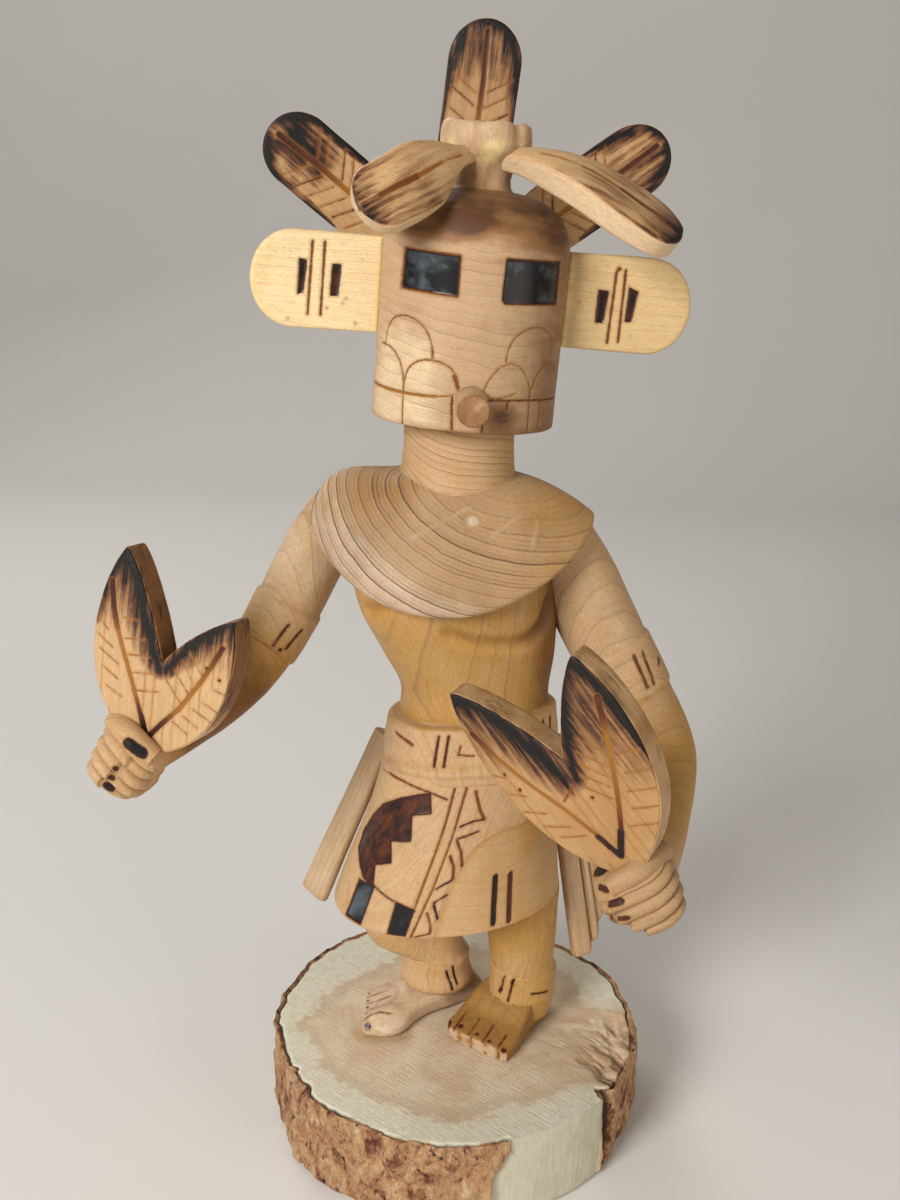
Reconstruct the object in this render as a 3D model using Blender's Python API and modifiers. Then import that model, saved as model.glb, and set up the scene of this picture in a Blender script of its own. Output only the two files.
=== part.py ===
"""A carved wooden kachina doll on a slice of log.

The doll stands about 254 mm (10 in) tall and faces -Y. Its body, from the feet to the
neck, is one carving. The arms, head, ears, snout, feathers and hip sashes are carved
apart and glued on. The origin is the centre of the log slice's underside.
Sizes are in millimetres; each mesh is scaled to metres when it is made.
"""

import math
from functools import partial

import bmesh
import bpy
from mathutils import Matrix, Vector

MM = 0.001
GAP = 0.3  # clearance left where one glued piece meets the next

# Log slice
SLICE_RADIUS = 44.3
SLICE_HEIGHT = 21.0
BARK = 1.1
BARE_SECTOR = (-73.0, -43.0)  # degrees round from +X where the bark has fallen off
SPLIT_SECTOR = (-41.0, -6.0)  # where the wood has torn away from the bark beside a knot
SPLIT_RADIUS = 42.0

# Carved figure
STAND = SLICE_HEIGHT + GAP  # underside of the feet
WAIST = (0.8, 0.0)  # plan position of the body's axis at the waist
NECK = (-4.6, 0.0)
NECK_RADIUS = 12.1
BELT_BOTTOM, BELT_TOP = 92.5, 105.0
HEM = 58.5
HIP_TILT = 0.11  # the hips rise towards +X by this much for each millimetre
CAPE_TOP = 160.0
CAPE_LEFT, CAPE_RIGHT = 32.0, 30.2  # reach from the neck's axis, towards -X and +X
CAPE_FRONT, CAPE_BACK = 22.6, 20.5
CAPE_EDGE = 1.5

# Head
HEAD_BASE = (-4.1, 0.0, 171.0)
HEAD_ROLL, HEAD_TURN = math.radians(2.7), math.radians(4.0)
HEAD_RADIUS = 19.4
HEAD_HEIGHT = 47.0
DOME_START = 34.5
FAN_ROOT = (-2.4, 27.0)  # across and up on the back of the head
FAN_THICK = 3.0
HAND_FEATHER_THICK = 6.0


def clear_scene():
    for found in list(bpy.data.objects):
        bpy.data.objects.remove(found, do_unlink=True)


def collection(name):
    made = bpy.data.collections.new(name)
    bpy.context.scene.collection.children.link(made)
    return made


def wood(name, colour, roughness=0.62):
    made = bpy.data.materials.new(name)
    made.use_nodes = True
    shader = made.node_tree.nodes["Principled BSDF"]
    shader.inputs["Base Color"].default_value = (*colour, 1.0)
    shader.inputs["Roughness"].default_value = roughness
    shader.inputs["Metallic"].default_value = 0.0
    return made


def lerp(a, b, t):
    return a + (b - a) * t


def smoothstep(low, high, x):
    t = min(1.0, max(0.0, (x - low) / (high - low)))
    return t * t * (3.0 - 2.0 * t)


def turned_about(angle, axis):
    return Matrix.Rotation(angle, 4, axis)


def made_object(name, bm):
    """The bmesh, in millimetres, as an object in metres."""
    bmesh.ops.recalc_face_normals(bm, faces=bm.faces)
    mesh = bpy.data.meshes.new(name)
    bm.to_mesh(mesh)
    bm.free()
    mesh.transform(Matrix.Scale(MM, 4))
    made = bpy.data.objects.new(name, mesh)
    bpy.context.scene.collection.objects.link(made)
    return made


def loft(name, rings):
    """A closed solid through rings of equal point counts, capped at both ends."""
    bm = bmesh.new()
    rows = [[bm.verts.new(point) for point in ring] for ring in rings]
    count = len(rows[0])
    for lower, upper in zip(rows, rows[1:]):
        for i in range(count):
            j = (i + 1) % count
            bm.faces.new((lower[i], lower[j], upper[j], upper[i]))
    bm.faces.new(reversed(rows[0]))
    bm.faces.new(rows[-1])
    return made_object(name, bm)


def signed_power(value, power):
    return math.copysign(abs(value) ** power, value)


def oval(height, across, depth, half_width, front, back, count=32, rise=0.0, square=1.0):
    """A level ring, deeper in front or behind, that climbs by rise towards +X."""
    ring = []
    for i in range(count):
        angle = math.tau * i / count
        x = half_width * signed_power(math.cos(angle), square)
        reach = front if math.sin(angle) < 0 else back
        y = reach * signed_power(math.sin(angle), square)
        ring.append(Vector((across + x, depth + y, height + rise * x)))
    return ring


def curve_point(points, t):
    """A point at t, from 0 to 1, on a Catmull-Rom curve through the points."""
    spans = len(points) - 1
    k = min(spans - 1, int(t * spans))
    u = t * spans - k
    before = points[k - 1] if k else 2 * points[0] - points[1]
    after = points[k + 2] if k + 2 <= spans else 2 * points[-1] - points[-2]
    a, b = points[k], points[k + 1]
    return 0.5 * (
        2 * a
        + (b - before) * u
        + (2 * before - 5 * a + 4 * b - after) * u**2
        + (3 * a - before - 3 * b + after) * u**3
    )


def limb_rings(path, radii, steps, count=18, band=None):
    """Round rings along a smooth path. band = (start, end, extra) stands proud."""
    points = [Vector(p) for p in path]
    stops = sorted({i / steps for i in range(steps + 1)})
    if band:
        start, end, _ = band
        stops = [s for s in stops if abs(s - start) > 0.02 and abs(s - end) > 0.02]
        stops = sorted(stops + [start - 0.012, start + 0.006, end - 0.004, end + 0.008])
    rings = []
    side = Vector((0.0, 1.0, 0.0))
    for t in stops:
        here = curve_point(points, t)
        ahead = curve_point(points, min(1.0, t + 0.01))
        behind = curve_point(points, max(0.0, t - 0.01))
        along = (ahead - behind).normalized()
        side = (side - along * side.dot(along)).normalized()
        across = along.cross(side)
        spot = t * (len(radii) - 1)
        k = min(len(radii) - 2, int(spot))
        radius = lerp(radii[k], radii[k + 1], spot - k)
        if band and band[0] <= t <= band[1]:
            radius += band[2]
        rings.append(
            [
                here + radius * (math.cos(a) * side + math.sin(a) * across)
                for a in (math.tau * i / count for i in range(count))
            ]
        )
    return rings


def boolean(target, other, operation, keep_other=False):
    """Joins or cuts target by other, a mesh object, and applies the result."""
    modifier = target.modifiers.new(operation.lower(), "BOOLEAN")
    modifier.operation = operation
    modifier.object = other
    modifier.solver = "EXACT"
    depsgraph = bpy.context.evaluated_depsgraph_get()
    mesh = bpy.data.meshes.new_from_object(target.evaluated_get(depsgraph))
    target.modifiers.clear()
    target.data = mesh
    if not keep_other:
        bpy.data.objects.remove(other, do_unlink=True)
    return target


def joined(name, pieces):
    """One solid from several overlapping ones."""
    first = pieces[0]
    for other in pieces[1:]:
        boolean(first, other, "UNION")
    first.name = name
    return first


def cut_by(target, *cutters):
    for cutter in cutters:
        boolean(target, cutter, "DIFFERENCE")
    return target


def finished(obj, name, material, into, matrix=None, sharp=math.radians(38)):
    obj.name = name
    obj.data.name = name
    if matrix is not None:
        obj.data.transform(scaled(matrix))
    obj.data.materials.clear()
    obj.data.materials.append(material)
    obj.data.shade_smooth()
    obj.data.set_sharp_from_angle(angle=sharp)
    for owner in list(obj.users_collection):
        owner.objects.unlink(obj)
    into.objects.link(obj)
    return obj


def scaled(matrix):
    """A placement in millimetres as one in metres."""
    made = matrix.copy()
    made.translation = made.translation * MM
    return made


# ---------------------------------------------------------------- log slice


def slice_radius(angle, grow=0.0):
    """The slice's outer radius, with the bark's waves and the bare sector's flat."""
    degrees = math.degrees((angle + math.pi) % math.tau - math.pi)
    start, end = BARE_SECTOR
    bare = smoothstep(start - 2, start + 2, degrees) * (1 - smoothstep(end - 2, end + 2, degrees))
    knot = smoothstep(-40, -24, degrees) * (1 - smoothstep(2, 20, degrees))
    waves = 0.45 * math.sin(3 * angle + 0.8) + 0.3 * math.sin(8 * angle + 2.0)
    return SLICE_RADIUS + (waves + BARK) * (1 - bare) - 0.9 * knot + grow


def log_slice():
    count = 72
    heights = ((0.0, -0.9), (1.0, -0.3), (10.0, 0.2), (SLICE_HEIGHT - 1.0, 0.2), (SLICE_HEIGHT, -0.7))
    rings = []
    for height, grow in heights:
        ring = []
        for i in range(count):
            angle = math.tau * i / count
            reach = slice_radius(angle, grow)
            ring.append(Vector((reach * math.cos(angle), reach * math.sin(angle), height)))
        rings.append(ring)
    slab = loft("slab", rings)
    start, end = (math.radians(a) for a in SPLIT_SECTOR)
    groove = []
    for i in range(7):
        angle = lerp(start, end, i / 6)
        spot = Vector((math.cos(angle), math.sin(angle), 0.0))
        centre = spot * SPLIT_RADIUS + Vector((0, 0, SLICE_HEIGHT + 0.2))
        size = 0.5 + 1.9 * math.sin(math.pi * (i + 0.5) / 7)
        groove.append([centre + size * (math.cos(a) * spot + math.sin(a) * Vector((0, 0, 1)))
                       for a in (math.tau * k / 8 for k in range(8))])
    return cut_by(slab, loft("split", groove))


# ---------------------------------------------------------------- carved figure


def torso(grow=0.0):
    sections = (
        # height, across, half width, front, back
        (86.0, 0.4, 18.0, 14.0, 12.5),
        (104.0, 1.2, 17.2, 12.6, 11.4),
        (110.0, 1.0, 16.9, 12.4, 11.2),
        (119.0, -0.9, 19.6, 14.6, 12.0),
        (128.0, -3.3, 22.0, 17.2, 13.0),
        (137.0, -4.6, 22.6, 18.6, 13.8),
        (146.0, -3.6, 21.4, 16.5, 13.2),
        (155.0, -4.2, 15.5, 12.0, 11.0),
    )
    rings = [oval(z, x, 0.0, a + grow, f + grow, b + grow) for z, x, a, f, b in sections]
    return loft("torso", rings)


def cape_height(reach, angle, across):
    """The mantle's height at a share of the way from the neck to its edge."""
    side = 10.0 * reach**6 if across < 0 else 8.5 * reach**1.7
    front = (25.6 - 2.4 * math.cos(angle)) * (0.5 * reach + 0.5 * reach**2)
    back = 21.0 * (0.6 * reach + 0.4 * reach**2)
    drop = front if math.sin(angle) < 0 else back
    return CAPE_TOP - lerp(side, drop, abs(math.sin(angle)) ** 1.5)


def cape_ring(reach, lower=0.0, shrink=0.0, count=40):
    ring = []
    for i in range(count):
        angle = math.tau * i / count
        across, along = math.cos(angle), math.sin(angle)
        wide = lerp(NECK_RADIUS - 1.5, CAPE_LEFT if across < 0 else CAPE_RIGHT, reach) - shrink
        deep = lerp(NECK_RADIUS - 1.5, CAPE_FRONT if along < 0 else CAPE_BACK, reach) - shrink
        height = cape_height(reach, angle, across) - lower
        ring.append(Vector((NECK[0] + wide * across, NECK[1] + deep * along, height)))
    return ring


def cape(grow=0.0):
    """The mantle round the shoulders: domed above, with a thin edge that overhangs."""
    rings = [cape_ring(reach, -grow, -grow) for reach in (0.0, 0.25, 0.5, 0.7, 0.85, 0.95, 1.0)]
    rings.append(cape_ring(1.0, CAPE_EDGE + grow, 0.5 - grow))
    rings.append(cape_ring(0.72, 9.0 + grow, 0.5 - grow))
    rings.append(cape_ring(0.3, 16.0 + grow, 0.0))
    return loft("cape", rings)


def neck():
    rings = []
    for height, radius in ((145.0, 13.5), (156.0, 13.0), (160.5, 12.2), (HEAD_BASE[2] - 0.9, 12.0)):
        rings.append(oval(height, NECK[0], NECK[1], radius, radius, radius))
    return loft("neck", rings)


def kilt(grow=0.0):
    sections = (
        # height, across, half width, front, back
        (HEM, -3.7, 27.0, 23.4, 19.5),
        (68.0, -2.6, 25.0, 21.6, 18.2),
        (80.0, -1.0, 22.2, 18.8, 16.4),
        (BELT_BOTTOM + 3, 0.3, 19.4, 15.4, 14.2),
    )
    rings = [
        oval(z, x, -0.5, a + grow, f + grow, b + grow, rise=HIP_TILT, square=0.95)
        for z, x, a, f, b in sections
    ]
    return loft("kilt", rings)


def belt(grow=0.0):
    rings = [
        oval(z, 0.6, -0.2, a + grow, f + grow, b + grow, rise=HIP_TILT)
        for z, a, f, b in (
            (BELT_BOTTOM, 20.3, 16.4, 15.0),
            (lerp(BELT_BOTTOM, BELT_TOP, 0.5), 20.0, 15.9, 14.4),
            (BELT_TOP, 19.2, 14.9, 13.4),
        )
    ]
    return loft("belt", rings)


def leg(across, depth, lean, flare, ankle, band_low, grow=0.0):
    """A stout leg with a carved band round the ankle, which narrows below the band.

    flare is how far its outer side spreads, towards the doll's right, under the kilt.
    """
    sections = (
        # height above the stand, radius, sideways shift, share of the flare
        (3.0, ankle, 0.0, 0.0),
        (band_low - 0.4, ankle + 0.4, 0.0, 0.0),
        (band_low + 0.2, 8.3, 0.0, 0.0),
        (15.4, 8.2, 0.1, 0.1),
        (16.2, 7.6, 0.35, 0.4),
        (19.0, 7.9, 0.8, 0.8),
        (24.0, 8.4, 1.1, 1.0),
        (33.0, 8.9, 1.7, 0.8),
        (39.0, 9.2, 2.1, 0.55),
        (45.0, 7.0, 2.6, 0.3),
    )
    rings = []
    for z, radius, shift, share in sections:
        spread = 0.5 * flare * share
        middle = across + lean * shift - spread
        rings.append(
            oval(STAND + z, middle, depth, radius + spread + grow, radius + grow, radius + grow, count=20)
        )
    return loft("leg", rings)


def foot(heel, toes, left, right, thick, skew=0.0):
    """A flat carved foot from heel to toes, widening to a straight row of toes.

    left and right are its half widths on either side at shares of its length, and skew is
    how much further its toes reach on the left than on the right.
    """
    start, end = Vector((*heel, STAND)), Vector((*toes, STAND))
    along = (end - start).normalized()
    side = Vector((-along.y, along.x, 0.0))
    length = (end - start).length
    sections = (
        # share of the length, height
        (0.0, 5.0),
        (0.06, 8.0),
        (0.25, 9.5),
        (0.5, thick + 3.4),
        (0.75, thick + 1.3),
        (0.86, thick + 0.7),
        (0.96, thick + 0.2),
        (1.0, thick - 0.3),
    )
    rings = []
    for share, high in sections:
        here = start + along * length * share
        wide, narrow = along_table(left, share), along_table(right, share)
        bevel = 0.8
        outline = (
            (-narrow, 0.0), (wide, 0.0), (wide, high - bevel), (wide - bevel, high),
            (0.35 * wide, high + 0.25), (-0.35 * narrow, high + 0.25),
            (bevel - narrow, high), (-narrow, high - bevel),
        )
        slant = 0.5 * skew * smoothstep(0.5, 1.0, share) / max(wide, narrow)
        rings.append([here + side * x + along * slant * x + Vector((0, 0, z)) for x, z in outline])
    return loft("foot", rings)


def along_table(table, share):
    """The value at a share, read from a table of (share, value)."""
    for (low, a), (high, b) in zip(table, table[1:]):
        if share <= high:
            return lerp(a, b, (share - low) / (high - low))
    return table[-1][1]


RIGHT_LEG = (-5.3, 7.8, -2.1, 9.5, 5.8, 6.2)
LEFT_LEG = (16.2, 2.6, -0.9, 0.0, 7.4, 8.4)

# Half widths of the feet at shares of their length; the right one bulges at the big toe
RIGHT_FOOT_INNER = ((0.0, 2.6), (0.29, 4.6), (0.66, 7.8), (0.74, 10.0), (0.84, 10.6), (0.95, 8.6), (1.0, 7.4))
RIGHT_FOOT_OUTER = ((0.0, 3.0), (0.3, 5.6), (0.7, 7.0), (1.0, 7.1))
LEFT_FOOT_SIDE = ((0.0, 3.2), (0.1, 6.2), (0.5, 7.8), (0.8, 8.8), (1.0, 8.8))


def carved_figure():
    pieces = [
        kilt(),
        belt(),
        torso(),
        cape(),
        neck(),
        leg(*RIGHT_LEG),
        leg(*LEFT_LEG),
        foot((5.0, 11.5), (-23.2, -0.8), RIGHT_FOOT_INNER, RIGHT_FOOT_OUTER, 3.4, skew=6.1),
        foot((19.2, 11.0), (4.2, -12.6), LEFT_FOOT_SIDE, LEFT_FOOT_SIDE, 2.9),
    ]
    return joined("carved_figure", pieces)


# ---------------------------------------------------------------- arms and hands


def fist(centre, turn, facing, size):
    """A closed hand: finger ridges round the front, thumb across the top.

    facing is +1 where the knuckles are towards +X and -1 where they are towards -X.
    size is half its width, depth and height.
    """
    half_wide, half_deep, half_high = size
    fingers = 4
    rings = []
    steps = 16
    count = 20
    for k in range(steps + 1):
        t = k / steps
        height = lerp(-half_high, half_high, t)
        cap = math.sqrt(max(0.0, 1 - abs(2 * t - 1) ** 3.2))
        swell = lerp(0.62, 1.0, cap)
        ridge = abs(math.sin(math.pi * min(1.0, t / 0.82) * fingers)) ** 0.6
        ring = []
        for i in range(count):
            angle = math.tau * i / count
            x, y = math.cos(angle), math.sin(angle)
            front = smoothstep(0.35, -0.3, y) if y < 0.35 else 0.0
            groove = 1 - 0.09 * front * (1 - ridge)
            wide = half_wide * signed_power(x, 0.8) * swell * groove
            deep = half_deep * signed_power(y, 0.8) * swell * groove
            ring.append(Vector((wide, deep, height)))
        rings.append(ring)
    hand = loft("fist", rings)
    thumb_path = [
        (0.84 * half_wide * facing, 0.13 * half_deep, 0.85 * half_high),
        (0.23 * half_wide * facing, -0.6 * half_deep, 0.98 * half_high),
        (-0.6 * half_wide * facing, -0.74 * half_deep, 0.8 * half_high),
    ]
    thumb = loft("thumb", limb_rings(thumb_path, (2.3, 2.6, 2.0), 5, count=10))
    boolean(hand, thumb, "UNION")
    hand.data.transform(scaled(Matrix.Translation(centre) @ turned_about(turn, "Y")))
    return hand


def arm(name, path, radii, band, hand_turn, facing, hand_size):
    """An arm and its fist, carved as one and trimmed to fit under the cape."""
    limb = loft("limb", limb_rings(path, radii, 14, band=band))
    hand = fist(Vector(path[-1]), hand_turn, facing, hand_size)
    whole = joined(name, [limb, hand])
    return cut_by(whole, cape(GAP), torso(GAP))


def right_arm():
    path = [(-29.0, 1.0, 150.5), (-35.4, 2.0, 140.6), (-41.4, 0.5, 128.3), (-47.6, -3.0, 117.3),
            (-54.0, -12.0, 111.6), (-61.0, -26.0, 109.0), (-68.4, -38.0, 106.2)]
    radii = (7.0, 7.5, 7.4, 7.1, 6.8, 6.1, 5.4)
    return arm("right_arm", path, radii, (0.33, 0.48, 0.6), math.radians(27), -1, (7.2, 7.2, 6.9))


def left_arm():
    path = [(16.5, 1.0, 146.5), (23.2, 1.5, 135.5), (30.2, 1.0, 122.5), (37.6, -0.5, 109.5),
            (44.6, -3.5, 96.0), (42.0, -20.0, 87.0), (34.6, -45.0, 84.6)]
    radii = (8.6, 9.0, 8.9, 8.6, 7.7, 6.6, 6.2)
    return arm("left_arm", path, radii, (0.36, 0.5, 0.6), math.radians(-22), 1, (8.6, 7.8, 7.5))


# ---------------------------------------------------------------- feathers


def leaf_half_width(t, width, tip=0.8):
    """Half the width of a pointed leaf, t running from its round base to its tip."""
    rise = math.sin(0.5 * math.pi * min(1.0, t / 0.42)) ** 0.62
    fall = 1.0 if t < 0.42 else max(0.0, math.cos(0.5 * math.pi * (t - 0.42) / 0.58)) ** tip
    return 0.5 * width * rise * fall


def plume_half_width(t, width):
    """Half the width of a plume: a narrow quill that widens to a round end."""
    quill = 0.27 * width * 0.5
    body = smoothstep(0.0, 0.42, t)
    half = lerp(quill, 0.5 * width, body)
    end_length = 0.17
    if t > 1 - end_length:
        u = (t - (1 - end_length)) / end_length
        half *= math.sqrt(max(0.0, 1 - u * u))
    return half


def outline_points(length, half_width, steps=18, bow=0.0, grow=0.0):
    """A closed outline from a half-width rule, its middle line bowed sideways."""
    left, right = [], []
    for i in range(steps + 1):
        t = 0.5 - 0.5 * math.cos(math.pi * i / steps)
        half = half_width(t) + grow
        middle = bow * 4 * t * (1 - t)
        height = lerp(-grow, length + grow, t)
        if half < 0.02:
            right.append((middle, height))
            continue
        right.append((middle + half, height))
        left.append((middle - half, height))
    return right + left[::-1]


def flat_plate(name, points, thickness):
    """A flat outline, in X and Z, given a thickness back from Y = 0."""
    curve = bpy.data.curves.new(name, "CURVE")
    curve.dimensions = "2D"
    curve.fill_mode = "BOTH"
    curve.extrude = 0.5 * thickness
    spline = curve.splines.new("POLY")
    spline.points.add(len(points) - 1)
    for point, (x, z) in zip(spline.points, points):
        point.co = (x, z, 0.0, 1.0)
    spline.use_cyclic_u = True
    guide = bpy.data.objects.new(name, curve)
    bpy.context.scene.collection.objects.link(guide)
    depsgraph = bpy.context.evaluated_depsgraph_get()
    mesh = bpy.data.meshes.new_from_object(guide.evaluated_get(depsgraph))
    bpy.data.objects.remove(guide, do_unlink=True)
    mesh.transform(Matrix.Translation((0, 0.5 * thickness, 0)) @ turned_about(math.pi / 2, "X"))
    bm = bmesh.new()
    bm.from_mesh(mesh)
    bmesh.ops.remove_doubles(bm, verts=bm.verts, dist=1e-4)
    return made_object(name, bm)


def hand_lobes(apex, turn, lean, lobes, grow=0.0):
    """Two pointed feathers that cross at the apex of a V. lobes: (angle, length, width, bow)."""
    placed = Matrix.Translation(apex) @ turned_about(-turn, "Z") @ turned_about(-lean, "X")
    pieces = []
    for angle, length, width, bow in lobes:
        rule = partial(leaf_half_width, width=width)
        points = outline_points(length, rule, bow=bow, grow=grow)
        lobe = flat_plate("lobe", points, HAND_FEATHER_THICK + 2 * grow)
        lobe.data.transform(scaled(Matrix.Translation((0, -grow, -0.12 * length))))
        lobe.data.transform(scaled(placed) @ turned_about(angle, "Y"))
        pieces.append(lobe)
    return pieces


RIGHT_HAND_FEATHERS = {
    "apex": (-63.9, -41.0, 112.8),
    "turn": math.radians(18),
    "lean": math.radians(6),
    "lobes": ((math.radians(-8), 42.5, 15.5, -2.6), (math.radians(36), 35.0, 15.5, 1.0)),
}
LEFT_HAND_FEATHERS = {
    "apex": (29.9, -49.0, 94.8),
    "turn": math.radians(28),
    "lean": math.radians(-4),
    "lobes": ((math.radians(-56), 52.5, 17.0, -1.2), (math.radians(-17), 47.0, 19.0, 1.5)),
}


def fan_feather(name, angle, length, width):
    """A flat plume on the back of the head. angle 0 points up, + towards +X."""
    points = outline_points(length, partial(plume_half_width, width=width))
    plate = flat_plate(name, points, FAN_THICK)
    plate.data.transform(scaled(Matrix.Translation((0, 0, 4.6))))
    plate.data.transform(turned_about(angle, "Y"))
    across, up = FAN_ROOT
    plate.data.transform(scaled(Matrix.Translation((across, HEAD_RADIUS - 1.1, up))))
    return plate


def bent_feather(name, path, side, width, thick, steps=14):
    """A plume along a bent path, with a level cross-section that leans with side."""
    points = [Vector(p) for p in path]
    rings = []
    for i in range(steps + 1):
        t = i / steps
        eased = lerp(t, math.sin(0.5 * math.pi * t), 0.35)
        here = curve_point(points, eased)
        ahead = curve_point(points, min(1.0, eased + 0.02))
        behind = curve_point(points, max(0.0, eased - 0.02))
        along = (ahead - behind).normalized()
        lean = Vector(side)
        across = (lean - along * lean.dot(along)).normalized()
        up = across.cross(along).normalized()
        half = max(0.8, plume_half_width(min(eased, 0.995), width))
        thin = 0.5 * thick * lerp(0.7, 1.0, smoothstep(0, 0.3, eased)) * lerp(1, 0.6, smoothstep(0.55, 1, eased))
        rings.append([
            here + across * half + up * thin,
            here + up * (thin + 0.25),
            here - across * half + up * thin,
            here - across * half - up * thin,
            here - up * thin,
            here + across * half - up * thin,
        ])
    return loft(name, rings)


# ---------------------------------------------------------------- head


def head_frame():
    return (
        Matrix.Translation(HEAD_BASE)
        @ turned_about(HEAD_ROLL, "Y")
        @ turned_about(HEAD_TURN, "Z")
    )


def head_profile(grow=0.0, steps=8):
    """The case mask's side, from the top of its dome down to its flat underside."""
    points = [(0.0, HEAD_HEIGHT + grow)]
    for i in range(1, steps + 1):
        u = 0.5 * math.pi * (1 - i / steps)
        r = (HEAD_RADIUS + grow) * max(0.0, math.cos(u)) ** 0.66
        z = DOME_START + (HEAD_HEIGHT + grow - DOME_START) * math.sin(u) ** 0.85
        points.append((r, z))
    points += [(HEAD_RADIUS + grow, 0.8), (HEAD_RADIUS - 0.8 + grow, -grow), (0.0, -grow)]
    return points


def turned(name, profile, steps=48):
    """A solid turned round Z from a profile of (radius, height) that runs downwards."""
    mesh = bpy.data.meshes.new(name)
    mesh.from_pydata([(r * MM, 0.0, z * MM) for r, z in profile],
                     [(i, i + 1) for i in range(len(profile) - 1)], [])
    made = bpy.data.objects.new(name, mesh)
    bpy.context.scene.collection.objects.link(made)
    screw = made.modifiers.new("turn", "SCREW")
    screw.steps = screw.render_steps = steps
    screw.use_merge_vertices = True
    screw.merge_threshold = 0.00001
    depsgraph = bpy.context.evaluated_depsgraph_get()
    made.data = bpy.data.meshes.new_from_object(made.evaluated_get(depsgraph))
    made.modifiers.clear()
    return made


def mask():
    return turned("mask", head_profile())


def mask_cutter():
    return turned("mask cutter", head_profile(GAP))


def snout():
    """A short dowel glued to the front of the mask, tipped down a little."""
    reach, radius = 6.4, 3.3
    bpy.ops.mesh.primitive_cylinder_add(vertices=28, radius=radius * MM, depth=(reach + 6) * MM)
    peg = bpy.context.object
    placed = (
        Matrix.Translation((0, -HEAD_RADIUS, 6.2))
        @ turned_about(math.radians(90 + 7), "X")
        @ Matrix.Translation((0, 0, 0.5 * (reach + 6) - 6))
    )
    peg.data.transform(scaled(placed))
    return cut_by(peg, mask_cutter())


def ear(side):
    """A flat paddle with a round end, standing out from the side of the head."""
    low, high, tip = 16.8, 36.2, 46.0
    radius = 0.5 * (high - low)
    middle = 0.5 * (low + high)
    inner = HEAD_RADIUS - 4.0
    points = [(inner, low), (tip - radius, low - 0.2)]
    steps = 16
    for i in range(1, steps):
        angle = lerp(-0.5, 0.5, i / steps) * math.pi
        points.append((tip - radius + radius * math.cos(angle) ** 0.9,
                       middle + (radius + 0.2) * math.sin(angle)))
    points += [(tip - radius, high + 0.2), (inner, high)]
    if side < 0:
        points = [(-x, z) for x, z in reversed(points)]
    plate = flat_plate("ear", points, 3.4)
    plate.data.transform(scaled(Matrix.Translation((0, -1.7, 0))))
    return cut_by(plate, mask_cutter())


def crown_profile():
    return ((0.0, 59.6), (7.6, 59.6), (8.3, 59.0), (8.6, 55.6), (8.0, 54.4), (4.6, 53.4),
            (3.4, 51.5), (3.5, 48.0), (4.0, 44.0), (0.0, 44.0))


def crown_peg():
    """The waisted peg on top of the head that the brow feathers are glued to."""
    peg = turned("crown", crown_profile(), steps=16)
    return cut_by(peg, mask_cutter())


def crown_cutter():
    grown = [(r + GAP if r else 0.0, z) for r, z in crown_profile()]
    return turned("crown cutter", grown, steps=16)


# ---------------------------------------------------------------- hip sashes


def board(name, top, bottom, across, width, thick, taper=1.0, steps=6):
    """A thin board hung from top to bottom; across is the direction of its width."""
    start, end = Vector(top), Vector(bottom)
    along = (end - start).normalized()
    side = Vector(across)
    side = (side - along * side.dot(along)).normalized()
    out = along.cross(side).normalized()
    rings = []
    for i in range(steps + 1):
        t = i / steps
        here = start.lerp(end, t)
        half = 0.5 * width * lerp(taper, 1.0, t)
        bevel = min(0.5, 0.3 * half)
        rings.append([here + side * x + out * y for x, y in (
            (-half, -0.5 * thick + bevel), (bevel - half, -0.5 * thick),
            (half - bevel, -0.5 * thick), (half, -0.5 * thick + bevel),
            (half, 0.5 * thick - bevel), (half - bevel, 0.5 * thick),
            (bevel - half, 0.5 * thick), (-half, 0.5 * thick - bevel),
        )])
    return loft(name, rings)


def right_hip_sash():
    strip = board("sash", (-19.4, 5.5, 95.0), (-36.0, 3.5, 53.0), (0.76, -0.65, 0.0), 8.0, 3.4, 0.7)
    return cut_by(strip, kilt(GAP), belt(GAP), torso(GAP))


def left_hip_sash():
    """The longer sash, cut into two strands at its lower end."""
    strip = board("sash", (21.6, 4.5, 96.0), (32.6, 5.0, 38.6), (0.95, 0.3, 0.0), 9.4, 4.2, 0.8)
    slot = board("slot", (28.2, 0.0, 63.0), (34.6, 2.0, 34.0), (0.95, 0.3, 0.0), 1.0, 20.0, 0.3)
    return cut_by(strip, slot, kilt(GAP), belt(GAP), torso(GAP), leg(*LEFT_LEG, GAP))


# ---------------------------------------------------------------- the whole doll


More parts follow.
